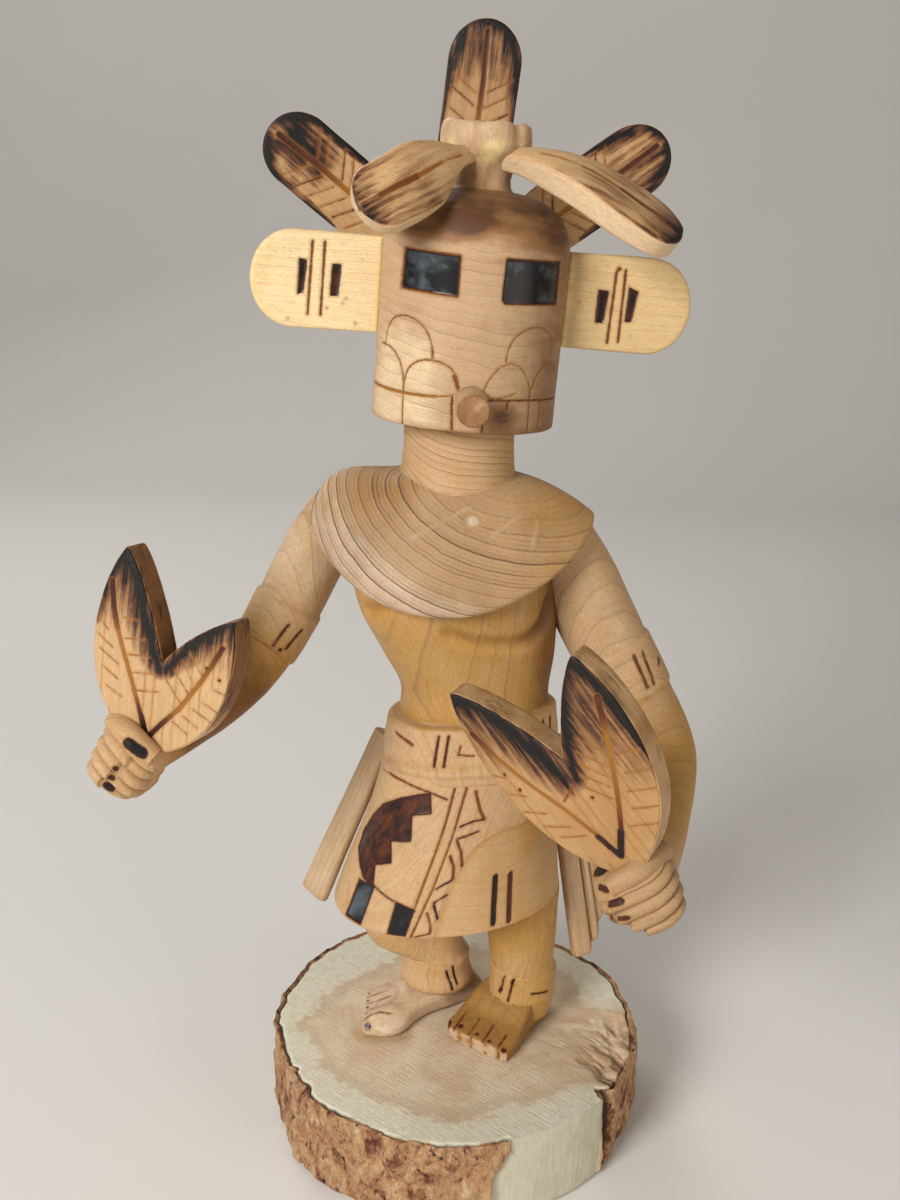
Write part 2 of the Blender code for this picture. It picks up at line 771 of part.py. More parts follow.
def build():
    clear_scene()
    doll = collection("kachina_doll")
    bark = wood("bark_slice", (0.62, 0.52, 0.38), 0.8)
    figure_wood = wood("figure_wood", (0.60, 0.38, 0.17))
    mask_wood = wood("mask_wood", (0.58, 0.40, 0.23))
    ear_wood = wood("ear_wood", (0.76, 0.57, 0.27))
    feather_wood = wood("feather_wood", (0.55, 0.37, 0.20))
    sash_wood = wood("sash_wood", (0.60, 0.44, 0.25), 0.75)

    finished(log_slice(), "log_slice_base", bark, doll)
    finished(carved_figure(), "carved_figure", figure_wood, doll)

    for name, limb, feathers in (
        ("right", right_arm(), RIGHT_HAND_FEATHERS),
        ("left", left_arm(), LEFT_HAND_FEATHERS),
    ):
        cut_by(limb, *hand_lobes(**feathers, grow=GAP))
        finished(limb, f"{name}_arm", figure_wood, doll)
        plate = joined(f"{name}_hand_feathers", hand_lobes(**feathers))
        finished(plate, f"{name}_hand_feathers", feather_wood, doll)

    placed = head_frame()
    finished(mask(), "case_mask", mask_wood, doll, placed)
    finished(snout(), "snout", mask_wood, doll, placed)
    finished(ear(-1), "right_ear", ear_wood, doll, placed)
    finished(ear(1), "left_ear", ear_wood, doll, placed)
    finished(crown_peg(), "crown_peg", mask_wood, doll, placed)
    for name, angle, length, width in (
        ("fan_feather_right", -55.0, 47.0, 15.5),
        ("fan_feather_middle", 3.0, 50.0, 15.6),
        ("fan_feather_left", 52.0, 50.5, 15.2),
    ):
        plume = cut_by(fan_feather(name, math.radians(angle), length, width), mask_cutter())
        finished(plume, name, feather_wood, doll, placed)
    for name, path, side, width, thick in (
        ("brow_feather_right", BROW_RIGHT, (0.04, 0.50, 0.86), 13.4, 4.6),
        ("brow_feather_left", BROW_LEFT, (0.05, 0.93, 0.37), 15.0, 5.4),
    ):
        plume = cut_by(bent_feather(name, path, side, width, thick), crown_cutter(), mask_cutter())
        finished(plume, name, feather_wood, doll, placed)

    finished(right_hip_sash(), "right_hip_sash", sash_wood, doll)
    finished(left_hip_sash(), "left_hip_sash", sash_wood, doll)


BROW_RIGHT = [(-2.0, -2.9, 53.8), (-9.6, -12.2, 50.4), (-16.3, -19.0, 45.6), (-24.4, -23.0, 40.6)]
BROW_LEFT = [(2.8, -3.7, 53.4), (9.8, -7.7, 51.2), (18.6, -10.8, 48.2), (28.8, -12.0, 44.3), (38.9, -12.7, 40.5)]

build()
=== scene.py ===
"""The looks of a carved wooden kachina doll that stands on a slice of log.

Each visible piece is modelled finely in place of its plain solid, in millimetres, and
scaled to metres when its mesh is made. Growth rings, burnt strokes, scorching and colour
zones are worked out on the surface, kept as attributes, and read by one wood material.
"""

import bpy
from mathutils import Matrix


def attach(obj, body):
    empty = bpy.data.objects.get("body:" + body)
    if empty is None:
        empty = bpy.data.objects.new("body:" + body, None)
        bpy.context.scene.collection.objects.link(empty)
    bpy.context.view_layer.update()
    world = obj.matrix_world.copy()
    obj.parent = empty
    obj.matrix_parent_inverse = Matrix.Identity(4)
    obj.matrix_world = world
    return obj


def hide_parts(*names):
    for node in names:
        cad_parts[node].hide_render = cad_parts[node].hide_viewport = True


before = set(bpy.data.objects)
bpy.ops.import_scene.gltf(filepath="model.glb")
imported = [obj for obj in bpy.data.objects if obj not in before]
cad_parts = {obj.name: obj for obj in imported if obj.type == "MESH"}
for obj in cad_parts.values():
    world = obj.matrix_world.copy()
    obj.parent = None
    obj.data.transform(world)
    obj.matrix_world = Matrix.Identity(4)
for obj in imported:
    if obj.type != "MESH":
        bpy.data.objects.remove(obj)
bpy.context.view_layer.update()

import math

import bpy
import numpy as np
from mathutils import Matrix, Vector
from mathutils.bvhtree import BVHTree
from mathutils.geometry import delaunay_2d_cdt

MM = 0.001  # a millimetre in metres
FAR = 3.0  # millimetres from the nearest stroke that count as no stroke at all
UNBURNT = {"edge": FAR, "char": 0.0, "scorch": 0.0}

# ------------------------------------------------------------------ numbers and curves


def smooth(low, high, x):
    """0 at low and 1 at high, easing in between; low may be the greater of the two."""
    t = np.clip((np.asarray(x, float) - low) / (high - low), 0.0, 1.0)
    return t * t * (3.0 - 2.0 * t)


def window(x, start, end, soft):
    """1 between start and end, fading out over soft at each side."""
    return smooth(start - soft, start + soft, x) * (1.0 - smooth(end - soft, end + soft, x))


def bell(x, middle, width):
    """1 at the middle, falling off smoothly over about a width to each side."""
    return np.exp(-(((x - middle) / width) ** 2))


def blend(a, b, t):
    return a + (b - a) * t


def spow(value, power):
    """A power that keeps its sign, which squares off a circle's sine and cosine."""
    return np.sign(value) * np.abs(value) ** power


LATTICE = np.random.default_rng(11).random((32, 32, 32)) * 2.0 - 1.0


def noise(p, size, octaves=1, seed=0.0):
    """Smooth noise, about -1 to 1, at points p with features of size millimetres."""
    p = np.asarray(p, float) / size + 7.31 * seed + 50.0
    total, weight, whole = 0.0, 1.0, 0.0
    for _ in range(octaves):
        cell = np.floor(p).astype(int)
        f = p - cell
        f = f * f * (3.0 - 2.0 * f)
        low, high = cell % 32, (cell + 1) % 32
        value = 0.0
        for a in (0, 1):
            for b in (0, 1):
                for c in (0, 1):
                    i = (high if a else low)[..., 0]
                    j = (high if b else low)[..., 1]
                    k = (high if c else low)[..., 2]
                    share = f[..., 0] if a else 1 - f[..., 0]
                    share = share * (f[..., 1] if b else 1 - f[..., 1])
                    share = share * (f[..., 2] if c else 1 - f[..., 2])
                    value = value + LATTICE[i, j, k] * share
        total = total + weight * value
        whole += weight
        weight *= 0.55
        p = p * 2.03 + 3.7
    return total / whole


def spline(x, xs, ys):
    """Smooth values at x through (xs, ys), held level beyond the ends."""
    xs, ys = np.asarray(xs, float), np.asarray(ys, float)
    slope = np.gradient(ys, xs, axis=0)
    x = np.clip(np.asarray(x, float), xs[0], xs[-1])
    k = np.clip(np.searchsorted(xs, x, side="right") - 1, 0, len(xs) - 2)
    h = xs[k + 1] - xs[k]
    u = (x - xs[k]) / h
    if ys.ndim > 1:
        h, u = h[..., None], u[..., None]
    return (
        (2 * u**3 - 3 * u**2 + 1) * ys[k]
        + (u**3 - 2 * u**2 + u) * h * slope[k]
        + (3 * u**2 - 2 * u**3) * ys[k + 1]
        + (u**3 - u**2) * h * slope[k + 1]
    )


def catmull(points, t):
    """Points at each t, from 0 to 1, on a Catmull-Rom curve."""
    points, t = np.asarray(points, float), np.asarray(t, float)
    spans = len(points) - 1
    padded = np.vstack([2 * points[0] - points[1], points, 2 * points[-1] - points[-2]])
    k = np.minimum(spans - 1, (t * spans).astype(int))
    u = (t * spans - k)[:, None]
    p0, p1, p2, p3 = (padded[k + i] for i in range(4))
    return 0.5 * (
        2 * p1 + (p2 - p0) * u + (2 * p0 - 5 * p1 + 4 * p2 - p3) * u**2
        + (3 * p1 - p0 - 3 * p2 + p3) * u**3
    )


def resampled(points, count):
    """That many points, evenly spread over a list of points by share."""
    points = np.asarray(points, float)
    t, knots = np.linspace(0, 1, count), np.linspace(0, 1, len(points))
    return np.stack([np.interp(t, knots, column) for column in points.T], 1)


def around(front, back, reach=105):
    """Angles round from the front, in radians, closer together within reach degrees of it."""
    near = np.linspace(-reach, reach, front, endpoint=False)
    far = np.linspace(reach, 360 - reach, back, endpoint=False)
    return np.radians(np.concatenate([near, far]))


def circle(count):
    return np.linspace(0, 2 * math.pi, count, endpoint=False)


# ------------------------------------------------------------------ meshes


def made(name, verts, faces):
    """A mesh object from points in millimetres, its faces turned outwards."""
    verts = np.asarray(verts, float)
    corners = np.array([face[:3] for face in faces])
    a, b, c = (verts[corners[:, i]] for i in range(3))
    if np.einsum("ij,ij->i", a, np.cross(b, c)).sum() < 0:
        faces = [tuple(reversed(face)) for face in faces]
    mesh = bpy.data.meshes.new(name)
    mesh.from_pydata((verts * MM).tolist(), [], faces)
    obj = bpy.data.objects.new(name, mesh)
    bpy.context.scene.collection.objects.link(obj)
    return obj


def solid(name, rows):
    """A closed solid through rings of points, with a fan at each end."""
    rows = np.asarray(rows, float)
    count, wide, _ = rows.shape
    i = np.arange(wide)
    j = (i + 1) % wide
    start = np.arange(count - 1)[:, None] * wide
    faces = np.stack([start + i, start + j, start + wide + j, start + wide + i], -1)
    faces = faces.reshape(-1, 4).tolist()
    low, high, last = count * wide, count * wide + 1, (count - 1) * wide
    faces += [(low, b, a) for a, b in zip(i.tolist(), j.tolist())]
    faces += [(high, last + a, last + b) for a, b in zip(i.tolist(), j.tolist())]
    verts = np.vstack([rows.reshape(-1, 3), rows[0].mean(0), rows[-1].mean(0)])
    return made(name, verts, faces)


def lathe(profile, angles, centre=(0.0, 0.0)):
    """Rings round Z through a profile of (radius, height), at angles from the front."""
    profile = np.asarray(profile, float)
    x = centre[0] + profile[:, :1] * np.sin(angles)
    y = centre[1] - profile[:, :1] * np.cos(angles)
    return np.stack([x, y, np.broadcast_to(profile[:, 1:], x.shape)], -1)


def spread(values, shape):
    """Values on a solid's grid, with one more for each end's centre."""
    values = np.broadcast_to(values, shape)
    return np.concatenate([values.ravel(), [values[0].mean(), values[-1].mean()]])


def points_of(obj):
    out = np.empty(len(obj.data.vertices) * 3, np.float32)
    obj.data.vertices.foreach_get("co", out)
    return out.reshape(-1, 3).astype(float) / MM


def normals_of(obj):
    out = np.empty(len(obj.data.vertices) * 3, np.float32)
    obj.data.vertex_normals.foreach_get("vector", out)
    return out.reshape(-1, 3).astype(float)


def move_points(obj, points):
    obj.data.vertices.foreach_set("co", (np.asarray(points) * MM).astype(np.float32).ravel())
    obj.data.update()


def carve(obj, depth):
    """Sinks each point along its normal by depth, in millimetres."""
    move_points(obj, points_of(obj) - normals_of(obj) * np.asarray(depth)[:, None])


def put(obj, **fields):
    """Keeps values on the object's points: numbers, or vectors of three."""
    for key, values in fields.items():
        values = np.asarray(values, np.float32)
        if values.ndim == 0:
            values = np.full(len(obj.data.vertices), values, np.float32)
        kind, slot = ("FLOAT_VECTOR", "vector") if values.ndim == 2 else ("FLOAT", "value")
        layer = obj.data.attributes.get(key) or obj.data.attributes.new(key, kind, "POINT")
        layer.data.foreach_set(slot, values.ravel())


def boolean(target, other, operation):
    """Joins or cuts target by other, which is used up."""
    modifier = target.modifiers.new(operation.lower(), "BOOLEAN")
    modifier.operation = operation
    modifier.object = other
    modifier.solver = "MANIFOLD"
    depsgraph = bpy.context.evaluated_depsgraph_get()
    mesh = bpy.data.meshes.new_from_object(target.evaluated_get(depsgraph))
    target.modifiers.clear()
    target.data = mesh
    bpy.data.objects.remove(other, do_unlink=True)


def turn(axis, degrees):
    return np.array(Matrix.Rotation(math.radians(degrees), 3, axis))


def place(points, *steps):
    """Points after each step in turn: a 3 x 3 turn, or a shift of three numbers."""
    points = np.asarray(points, float)
    for step in steps:
        step = np.asarray(step, float)
        points = points @ step.T if step.ndim == 2 else points + step
    return points


# ------------------------------------------------------------------ grain and strokes


def grain_frame(points, through, along):
    """Points as (two coordinates across, one along) a pith that passes through a point."""
    along = np.asarray(along, float) / np.linalg.norm(along)
    side = np.cross(along, (0.0, 1.0, 0.0) if abs(along[1]) < 0.9 else (1.0, 0.0, 0.0))
    side /= np.linalg.norm(side)
    other = np.cross(along, side)
    away = np.asarray(points, float) - np.asarray(through, float)
    return np.stack([away @ side, away @ other, away @ along], -1)


def to_line(points, line):
    """Distance from each point to a line through the stops, and how far along it that is."""
    line = np.asarray(line, float)
    best = np.full(len(points), np.inf)
    share = np.zeros(len(points))
    lengths = np.linalg.norm(np.diff(line, axis=0), axis=1)
    total, done = max(lengths.sum(), 1e-9), 0.0
    spans = zip(line, line[1:], lengths) if len(line) > 1 else [(line[0], line[0], 0.0)]
    for a, b, length in spans:
        t = np.clip((points - a) @ (b - a) / max(length**2, 1e-9), 0.0, 1.0)
        away = np.linalg.norm(points - a - t[:, None] * (b - a), axis=1)
        closer = away < best
        best[closer] = away[closer]
        share[closer] = (done + t[closer] * length) / total
        done += length
    return best, share


def inside(points, shape):
    """Whether each 2D point lies within a closed shape."""
    x, y = points[:, 0], points[:, 1]
    found = np.zeros(len(points), bool)
    shape = np.asarray(shape, float)
    for (ax, ay), (bx, by) in zip(shape, np.roll(shape, -1, axis=0)):
        if ay != by:
            crosses = ((ay > y) != (by > y)) & (x < (bx - ax) * (y - ay) / (by - ay) + ax)
            found ^= crosses
    return found


def stroke(width, heat, *stops, depth=0.25):
    """A burnt line through the stops. See burnt for its heat."""
    return {"stops": stops, "width": width, "heat": heat, "depth": depth, "closed": False}


def patch(heat, *stops, depth=0.3):
    """A burnt area within the stops."""
    return {"stops": stops, "width": 0.0, "heat": heat, "depth": depth, "closed": True}


def lines(width, heat, *ends, depth):
    """Strokes that are alike, each from one point to another."""
    return [stroke(width, heat, start, end, depth=depth) for start, end in ends]


def arch(width, heat, centre, base, half, height, sag=0.0):
    """A rounded cloud arch: up one side, over, and down the other, which ends sag lower."""
    stops = []
    for i in range(13):
        a = math.pi * (1 - i / 12)
        up = math.sin(a) ** 0.8 if 0 < i < 12 else 0.0
        stops.append((centre + half * math.cos(a), base + height * up - sag * (i / 12)))
    return stroke(width, heat, *stops)


def burnt(spots, strokes):
    """Signed distance to the nearest stroke, its heat, and the depth it is cut to.

    spots are 2D or 3D points, in the same units as the strokes' stops. A stroke's heat is
    one number, or several that it runs through from start to end.
    """
    edge = np.full(len(spots), FAR)
    heat = np.zeros(len(spots))
    depth = np.zeros(len(spots))
    for item in strokes:
        stops = np.asarray(item["stops"], float)
        low, high = stops.min(0) - FAR, stops.max(0) + FAR
        near = np.nonzero(((spots >= low) & (spots <= high)).all(1))[0]
        if not len(near):
            continue
        here = spots[near]
        if item["closed"]:
            away, share = to_line(here, np.vstack([stops, stops[:1]]))
            away = np.where(inside(here, stops), -away, away)
        else:
            away, share = to_line(here, stops)
            away = away - 0.5 * item["width"]
        heats = np.atleast_1d(item["heat"])
        closer = away < edge[near]
        edge[near[closer]] = away[closer]
        heat[near[closer]] = np.interp(share, np.linspace(0, 1, len(heats)), heats)[closer]
        cut = item["depth"] * (1.0 - smooth(-0.3, 0.22, away))
        depth[near] = np.maximum(depth[near], cut)
    return edge, heat, depth


def scorched(spots, *trails, glows=()):
    """How burnt each 2D point is, from trails of (x, y, reach) and soft glows of
    (x, y, reach, strength)."""
    best = np.zeros(len(spots))
    for trail in trails:
        for x, y, reach in resampled(trail, 12 * len(trail)):
            away = np.hypot(spots[:, 0] - x, spots[:, 1] - y)
            best = np.maximum(best, 1.0 - away / (2.4 * reach))
    for x, y, reach, strength in glows:
        away = np.hypot(spots[:, 0] - x, spots[:, 1] - y) / reach
        best = np.maximum(best, strength * (1.0 - smooth(0.0, 1.0, away)))
    return best


# ------------------------------------------------------------------ materials


class Nodes:
    """A material's node tree, built through short calls that return sockets."""

    def __init__(self, name):
        self.material = bpy.data.materials.new(name)
        self.material.use_nodes = True
        self.tree = self.material.node_tree
        self.shader = self.tree.nodes["Principled BSDF"]

    def node(self, kind, **settings):
        made_node = self.tree.nodes.new(kind)
        for key, value in settings.items():
            setattr(made_node, key, value)
        return made_node

    def feed(self, socket, value):
        if isinstance(value, bpy.types.NodeSocket):
            self.tree.links.new(value, socket)
        elif isinstance(value, tuple) and len(value) == 3 and socket.type == "RGBA":
            socket.default_value = (*value, 1.0)
        else:
            socket.default_value = value

    def math(self, operation, *values):
        node = self.node("ShaderNodeMath", operation=operation)
        for socket, value in zip(node.inputs, values):
            self.feed(socket, value)
        return node.outputs[0]

    def step(self, value, low, high, start=0.0, end=1.0):
        """Eases from start, where the value is low, to end, where it is high."""
        node = self.node("ShaderNodeMapRange", interpolation_type="SMOOTHSTEP")
        for socket, each in zip(node.inputs, (value, low, high, start, end)):
            self.feed(socket, each)
        return node.outputs[0]

    def attribute(self, name, vector=False):
        node = self.node("ShaderNodeAttribute", attribute_name=name)
        return node.outputs["Vector" if vector else "Fac"]

    def scaled(self, vector, x, y, z):
        node = self.node("ShaderNodeVectorMath", operation="MULTIPLY")
        self.feed(node.inputs[0], vector)
        node.inputs[1].default_value = (x, y, z)
        return node.outputs[0]

    def across(self, vector):
        """A grain vector's two coordinates across the pith."""
        node = self.node("ShaderNodeSeparateXYZ")
        self.feed(node.inputs[0], vector)
        return node.outputs[0], node.outputs[1]

    def joined(self, x, y):
        node = self.node("ShaderNodeCombineXYZ")
        self.feed(node.inputs[0], x)
        self.feed(node.inputs[1], y)
        return node.outputs[0]

    def noise(self, vector, detail=2.0, roughness=0.5, distortion=0.0):
        """Noise from 0 to 1, whose features are about one unit of the vector in size."""
        node = self.node("ShaderNodeTexNoise")
        self.feed(node.inputs["Vector"], vector)
        node.inputs["Scale"].default_value = 1.0
        node.inputs["Detail"].default_value = detail
        node.inputs["Roughness"].default_value = roughness
        node.inputs["Distortion"].default_value = distortion
        return node.outputs["Fac"]

    def grained(self, grain, across, along, *shape, **more):
        """Noise of so many features a millimetre across the grain and along it."""
        return self.noise(self.scaled(grain, across, across, along), *shape, **more)

    def mix(self, share, a, b, mode="MIX"):
        node = self.node("ShaderNodeMix", data_type="RGBA", blend_type=mode, clamp_factor=True)
        self.feed(node.inputs["Factor"], share)
        self.feed(node.inputs[6], a)
        self.feed(node.inputs[7], b)
        return node.outputs[2]

    def tinted(self, colour, by):
        return self.mix(1.0, colour, by, "MULTIPLY")

    def ramp(self, share, *stops):
        node = self.node("ShaderNodeValToRGB")
        self.feed(node.inputs[0], share)
        elements = node.color_ramp.elements
        while len(elements) < len(stops):
            elements.new(0.5)
        for element, (position, colour) in zip(elements, stops):
            element.position = position
            element.color = (*colour, 1.0)
        return node.outputs[0]

    def times(self, *values):
        out = values[0]
        for value in values[1:]:
            out = self.math("MULTIPLY", out, value)
        return out

    def add(self, *values):
        out = values[0]
        for value in values[1:]:
            out = self.math("ADD", out, value)
        return out

    def distance(self, x, y):
        return self.math("SQRT", self.add(self.times(x, x), self.times(y, y)))

    def sway(self, value, amount):
        """A noise value, 0 to 1, as a shift of up to half the amount either way."""
        return self.math("MULTIPLY_ADD", value, amount, -0.5 * amount)

    def bump(self, height, distance, strength):
        """Feeds the shader a relief of so many metres for a height of 1."""
        node = self.node("ShaderNodeBump")
        node.inputs["Strength"].default_value = strength
        node.inputs["Distance"].default_value = distance
        self.feed(node.inputs["Height"], height)
        self.feed(self.shader.inputs["Normal"], node.outputs[0])


# what a burnt stroke's colour runs through as its heat rises, and what shines on it
BURN_COLOURS = (
    (0.0, (0.37, 0.175, 0.036)),
    (0.3, (0.27, 0.105, 0.014)),
    (0.6, (0.115, 0.029, 0.008)),
    (0.85, (0.028, 0.010, 0.007)),
    (1.0, (0.008, 0.007, 0.008)),
)
SHEEN, HALO = (0.072, 0.090, 0.100), (0.28, 0.11, 0.03)
# scorched wood, from lightly toasted to charcoal
TOASTED, BROWNED = (0.27, 0.125, 0.045), (0.195, 0.088, 0.036)
SEARED, CHARRED = (0.066, 0.024, 0.013), (0.0085, 0.0062, 0.0052)
GLUE, SHADE = (0.74, 0.60, 0.25), (0.46, 0.42, 0.38)
WARM, COOL = (1.0, 0.93, 0.86), (0.98, 1.0, 1.04)


def wood_material(name, pale, plain, honey, deep, ring_colour, spacing, ring, wobble=1.0,
                  fibre=0.32, pores=0.65, roughness=0.5, mottle=0.85):
    """Carved wood, read from attributes of the piece.

    grain is a point's place in the grain, in millimetres. tone is -1 for pale, 0 for plain,
    1 for honey-brown and 2 for deep brown wood, ringed how strongly the rings show, and dim
    how far the colour is deepened. edge, char and scorch tell of burns, and glue of glue.
    spacing is the growth rings' in millimetres, and ring how strongly they show.
    """
    n = Nodes(name)
    grain = n.attribute("grain", vector=True)
    x, y = n.across(grain)
    warp = n.grained(grain, 0.055, 0.022, 3.0)
    ripple = n.grained(grain, 0.2, 0.08)
    patchy = n.grained(grain, 0.10, 0.05)
    turns = n.times(n.distance(x, y), 1.0 / spacing)
    phase = n.add(turns, n.sway(warp, 2.2 * wobble), n.sway(ripple, 0.14))

    def rings(turns, start, peak):
        """Bands that darken to a sharp line, each of its own strength."""
        saw = n.math("FRACT", turns)
        chance = n.node("ShaderNodeTexWhiteNoise", noise_dimensions="1D")
        n.feed(chance.inputs["W"], n.math("FLOOR", turns))
        share = n.math("MULTIPLY_ADD", chance.outputs["Value"], 0.8, 0.25)
        return n.times(n.step(saw, start, peak), n.step(saw, peak + 0.03, 1.0, 1.0, 0.0), share)

    late, line = rings(phase, 0.1, 0.93), rings(phase, 0.80, 0.91)
    fine_line = rings(n.add(n.times(phase, 3.0), n.sway(ripple, 0.3)), 0.5, 0.84)
    ringed = n.times(n.attribute("ringed"), ring)
    fine_share = n.step(patchy, 0.36, 0.6, 0.2, 0.6)
    dark = n.add(n.times(late, 0.34), n.times(line, 0.72), n.times(fine_line, fine_share))

    blotch = n.grained(grain, 0.11, 0.06, 3.0, 0.6)
    fine = n.grained(grain, 5.0, 0.42, 3.0, 0.65)
    broad = n.grained(grain, 1.5, 0.10, 3.0, 0.6)
    cloudy = n.grained(grain, 0.42, 0.30, 4.0, 0.65)
    speck = n.step(n.grained(grain, 6.5, 1.6), 0.64, 0.72)
    tone = n.attribute("tone")
    tone = n.add(tone, n.sway(blotch, 1.6 * mottle), n.sway(cloudy, 0.9 * mottle))
    colour = n.mix(n.step(tone, 0.0, 1.1), plain, honey)
    colour = n.mix(n.step(tone, -0.05, -1.1), colour, pale)
    colour = n.mix(n.step(tone, 1.1, 2.3), colour, deep)
    colour = n.tinted(colour, n.math("MULTIPLY_ADD", fine, 2.4 * fibre, 1.0 - 1.2 * fibre))
    colour = n.tinted(colour, n.math("MULTIPLY_ADD", broad, 0.36, 0.82))
    colour = n.tinted(colour, n.mix(n.step(cloudy, 0.3, 0.7), WARM, COOL))
    colour = n.mix(n.times(ringed, dark), colour, ring_colour)
    colour = n.mix(n.times(speck, pores), colour, tuple(0.35 * c for c in ring_colour))
    # dim deepens the colour; on several pieces it is painted shade
    colour = n.mix(n.attribute("dim"), colour, n.tinted(colour, SHADE))
    colour = n.mix(n.times(n.attribute("glue"), n.step(cloudy, 0.35, 0.6)), colour, GLUE)

    # scorching, broken into streaks along the grain
    scorch = n.attribute("scorch")
    streaks = n.grained(grain, 1.0, 0.06, 3.0, 0.6)
    grit = n.grained(grain, 2.2, 0.9, 2.0, 0.6)
    fray = n.add(n.sway(streaks, 1.9), n.sway(grit, 0.3), n.sway(cloudy, 0.35))
    frayed = n.times(fray, n.step(scorch, 0.0, 0.3), n.step(scorch, 0.7, 1.0, 1.0, 0.15))
    burn = n.add(scorch, frayed)
    toasted = n.times(n.step(scorch, 0.05, 0.6), n.step(cloudy, 0.3, 0.6, 0.3, 0.62))
    colour = n.mix(toasted, colour, TOASTED)
    colour = n.mix(n.times(n.step(burn, 0.0, 0.40), 0.72), colour, BROWNED)
    colour = n.mix(n.times(n.step(burn, 0.32, 0.68), 0.92), colour, SEARED)
    colour = n.mix(n.step(burn, 0.66, 0.90), colour, CHARRED)

    # burnt strokes and patches
    wander = n.grained(grain, 0.8, 0.8)
    edge = n.add(n.attribute("edge"), n.sway(grit, 0.16), n.sway(wander, 0.3))
    char = n.attribute("char")
    cloud = n.grained(grain, 0.36, 0.25, 4.0, 0.66)
    within = n.step(edge, -0.2, -0.8, 0.2, 1.0)
    blotched = n.times(n.sway(cloud, 1.1), n.step(char, 0.5, 0.78), within)
    browner = n.times(n.step(char, 0.95, 1.2, 0.12, 0.75), n.step(char, 0.85, 0.98), -1.0)
    rim = n.times(n.step(edge, -0.7, -0.05), browner)
    ink = n.ramp(n.add(char, blotched, rim), *BURN_COLOURS)
    shine = n.times(n.sway(blotch, 2.1), n.step(edge, -0.2, -0.8))
    # painted sheen: the blackest burns fade to a blue-grey reflection in the base colour
    ink = n.mix(n.step(n.add(char, shine, rim), 1.0, 1.6), ink, SHEEN)
    inked = n.step(edge, -0.10, 0.14, 1.0, 0.0)
    halo = n.times(n.step(edge, 0.0, 0.7, 1.0, 0.0), n.step(char, 0.1, 0.9, 0.15, 0.5))
    colour = n.mix(halo, colour, HALO)
    colour = n.mix(inked, colour, ink)
    n.feed(n.shader.inputs["Base Color"], colour)

    gloss = n.times(inked, n.step(char, 0.7, 0.95))
    dry = n.times(n.step(burn, 0.5, 0.8), 0.05)
    rough = n.add(roughness, n.sway(fine, 0.2), dry, n.times(gloss, -(roughness - 0.22)))
    n.feed(n.shader.inputs["Roughness"], rough)
    n.shader.inputs["Specular IOR Level"].default_value = 0.22
    n.shader.inputs["Coat Weight"].default_value = 0.03
    n.shader.inputs["Coat Roughness"].default_value = 0.3
    relief = n.add(n.times(fine, 0.6), n.times(broad, 0.5), n.times(speck, -0.5),
                   n.times(ringed, line, -0.6))
    flaking = n.times(n.step(burn, 0.5, 0.9), grit, 1.5)
    relief = n.add(n.times(relief, n.step(gloss, 0.0, 0.8, 1.0, 0.3)), flaking)
    n.bump(relief, 0.00012, 0.8)
    return n.material


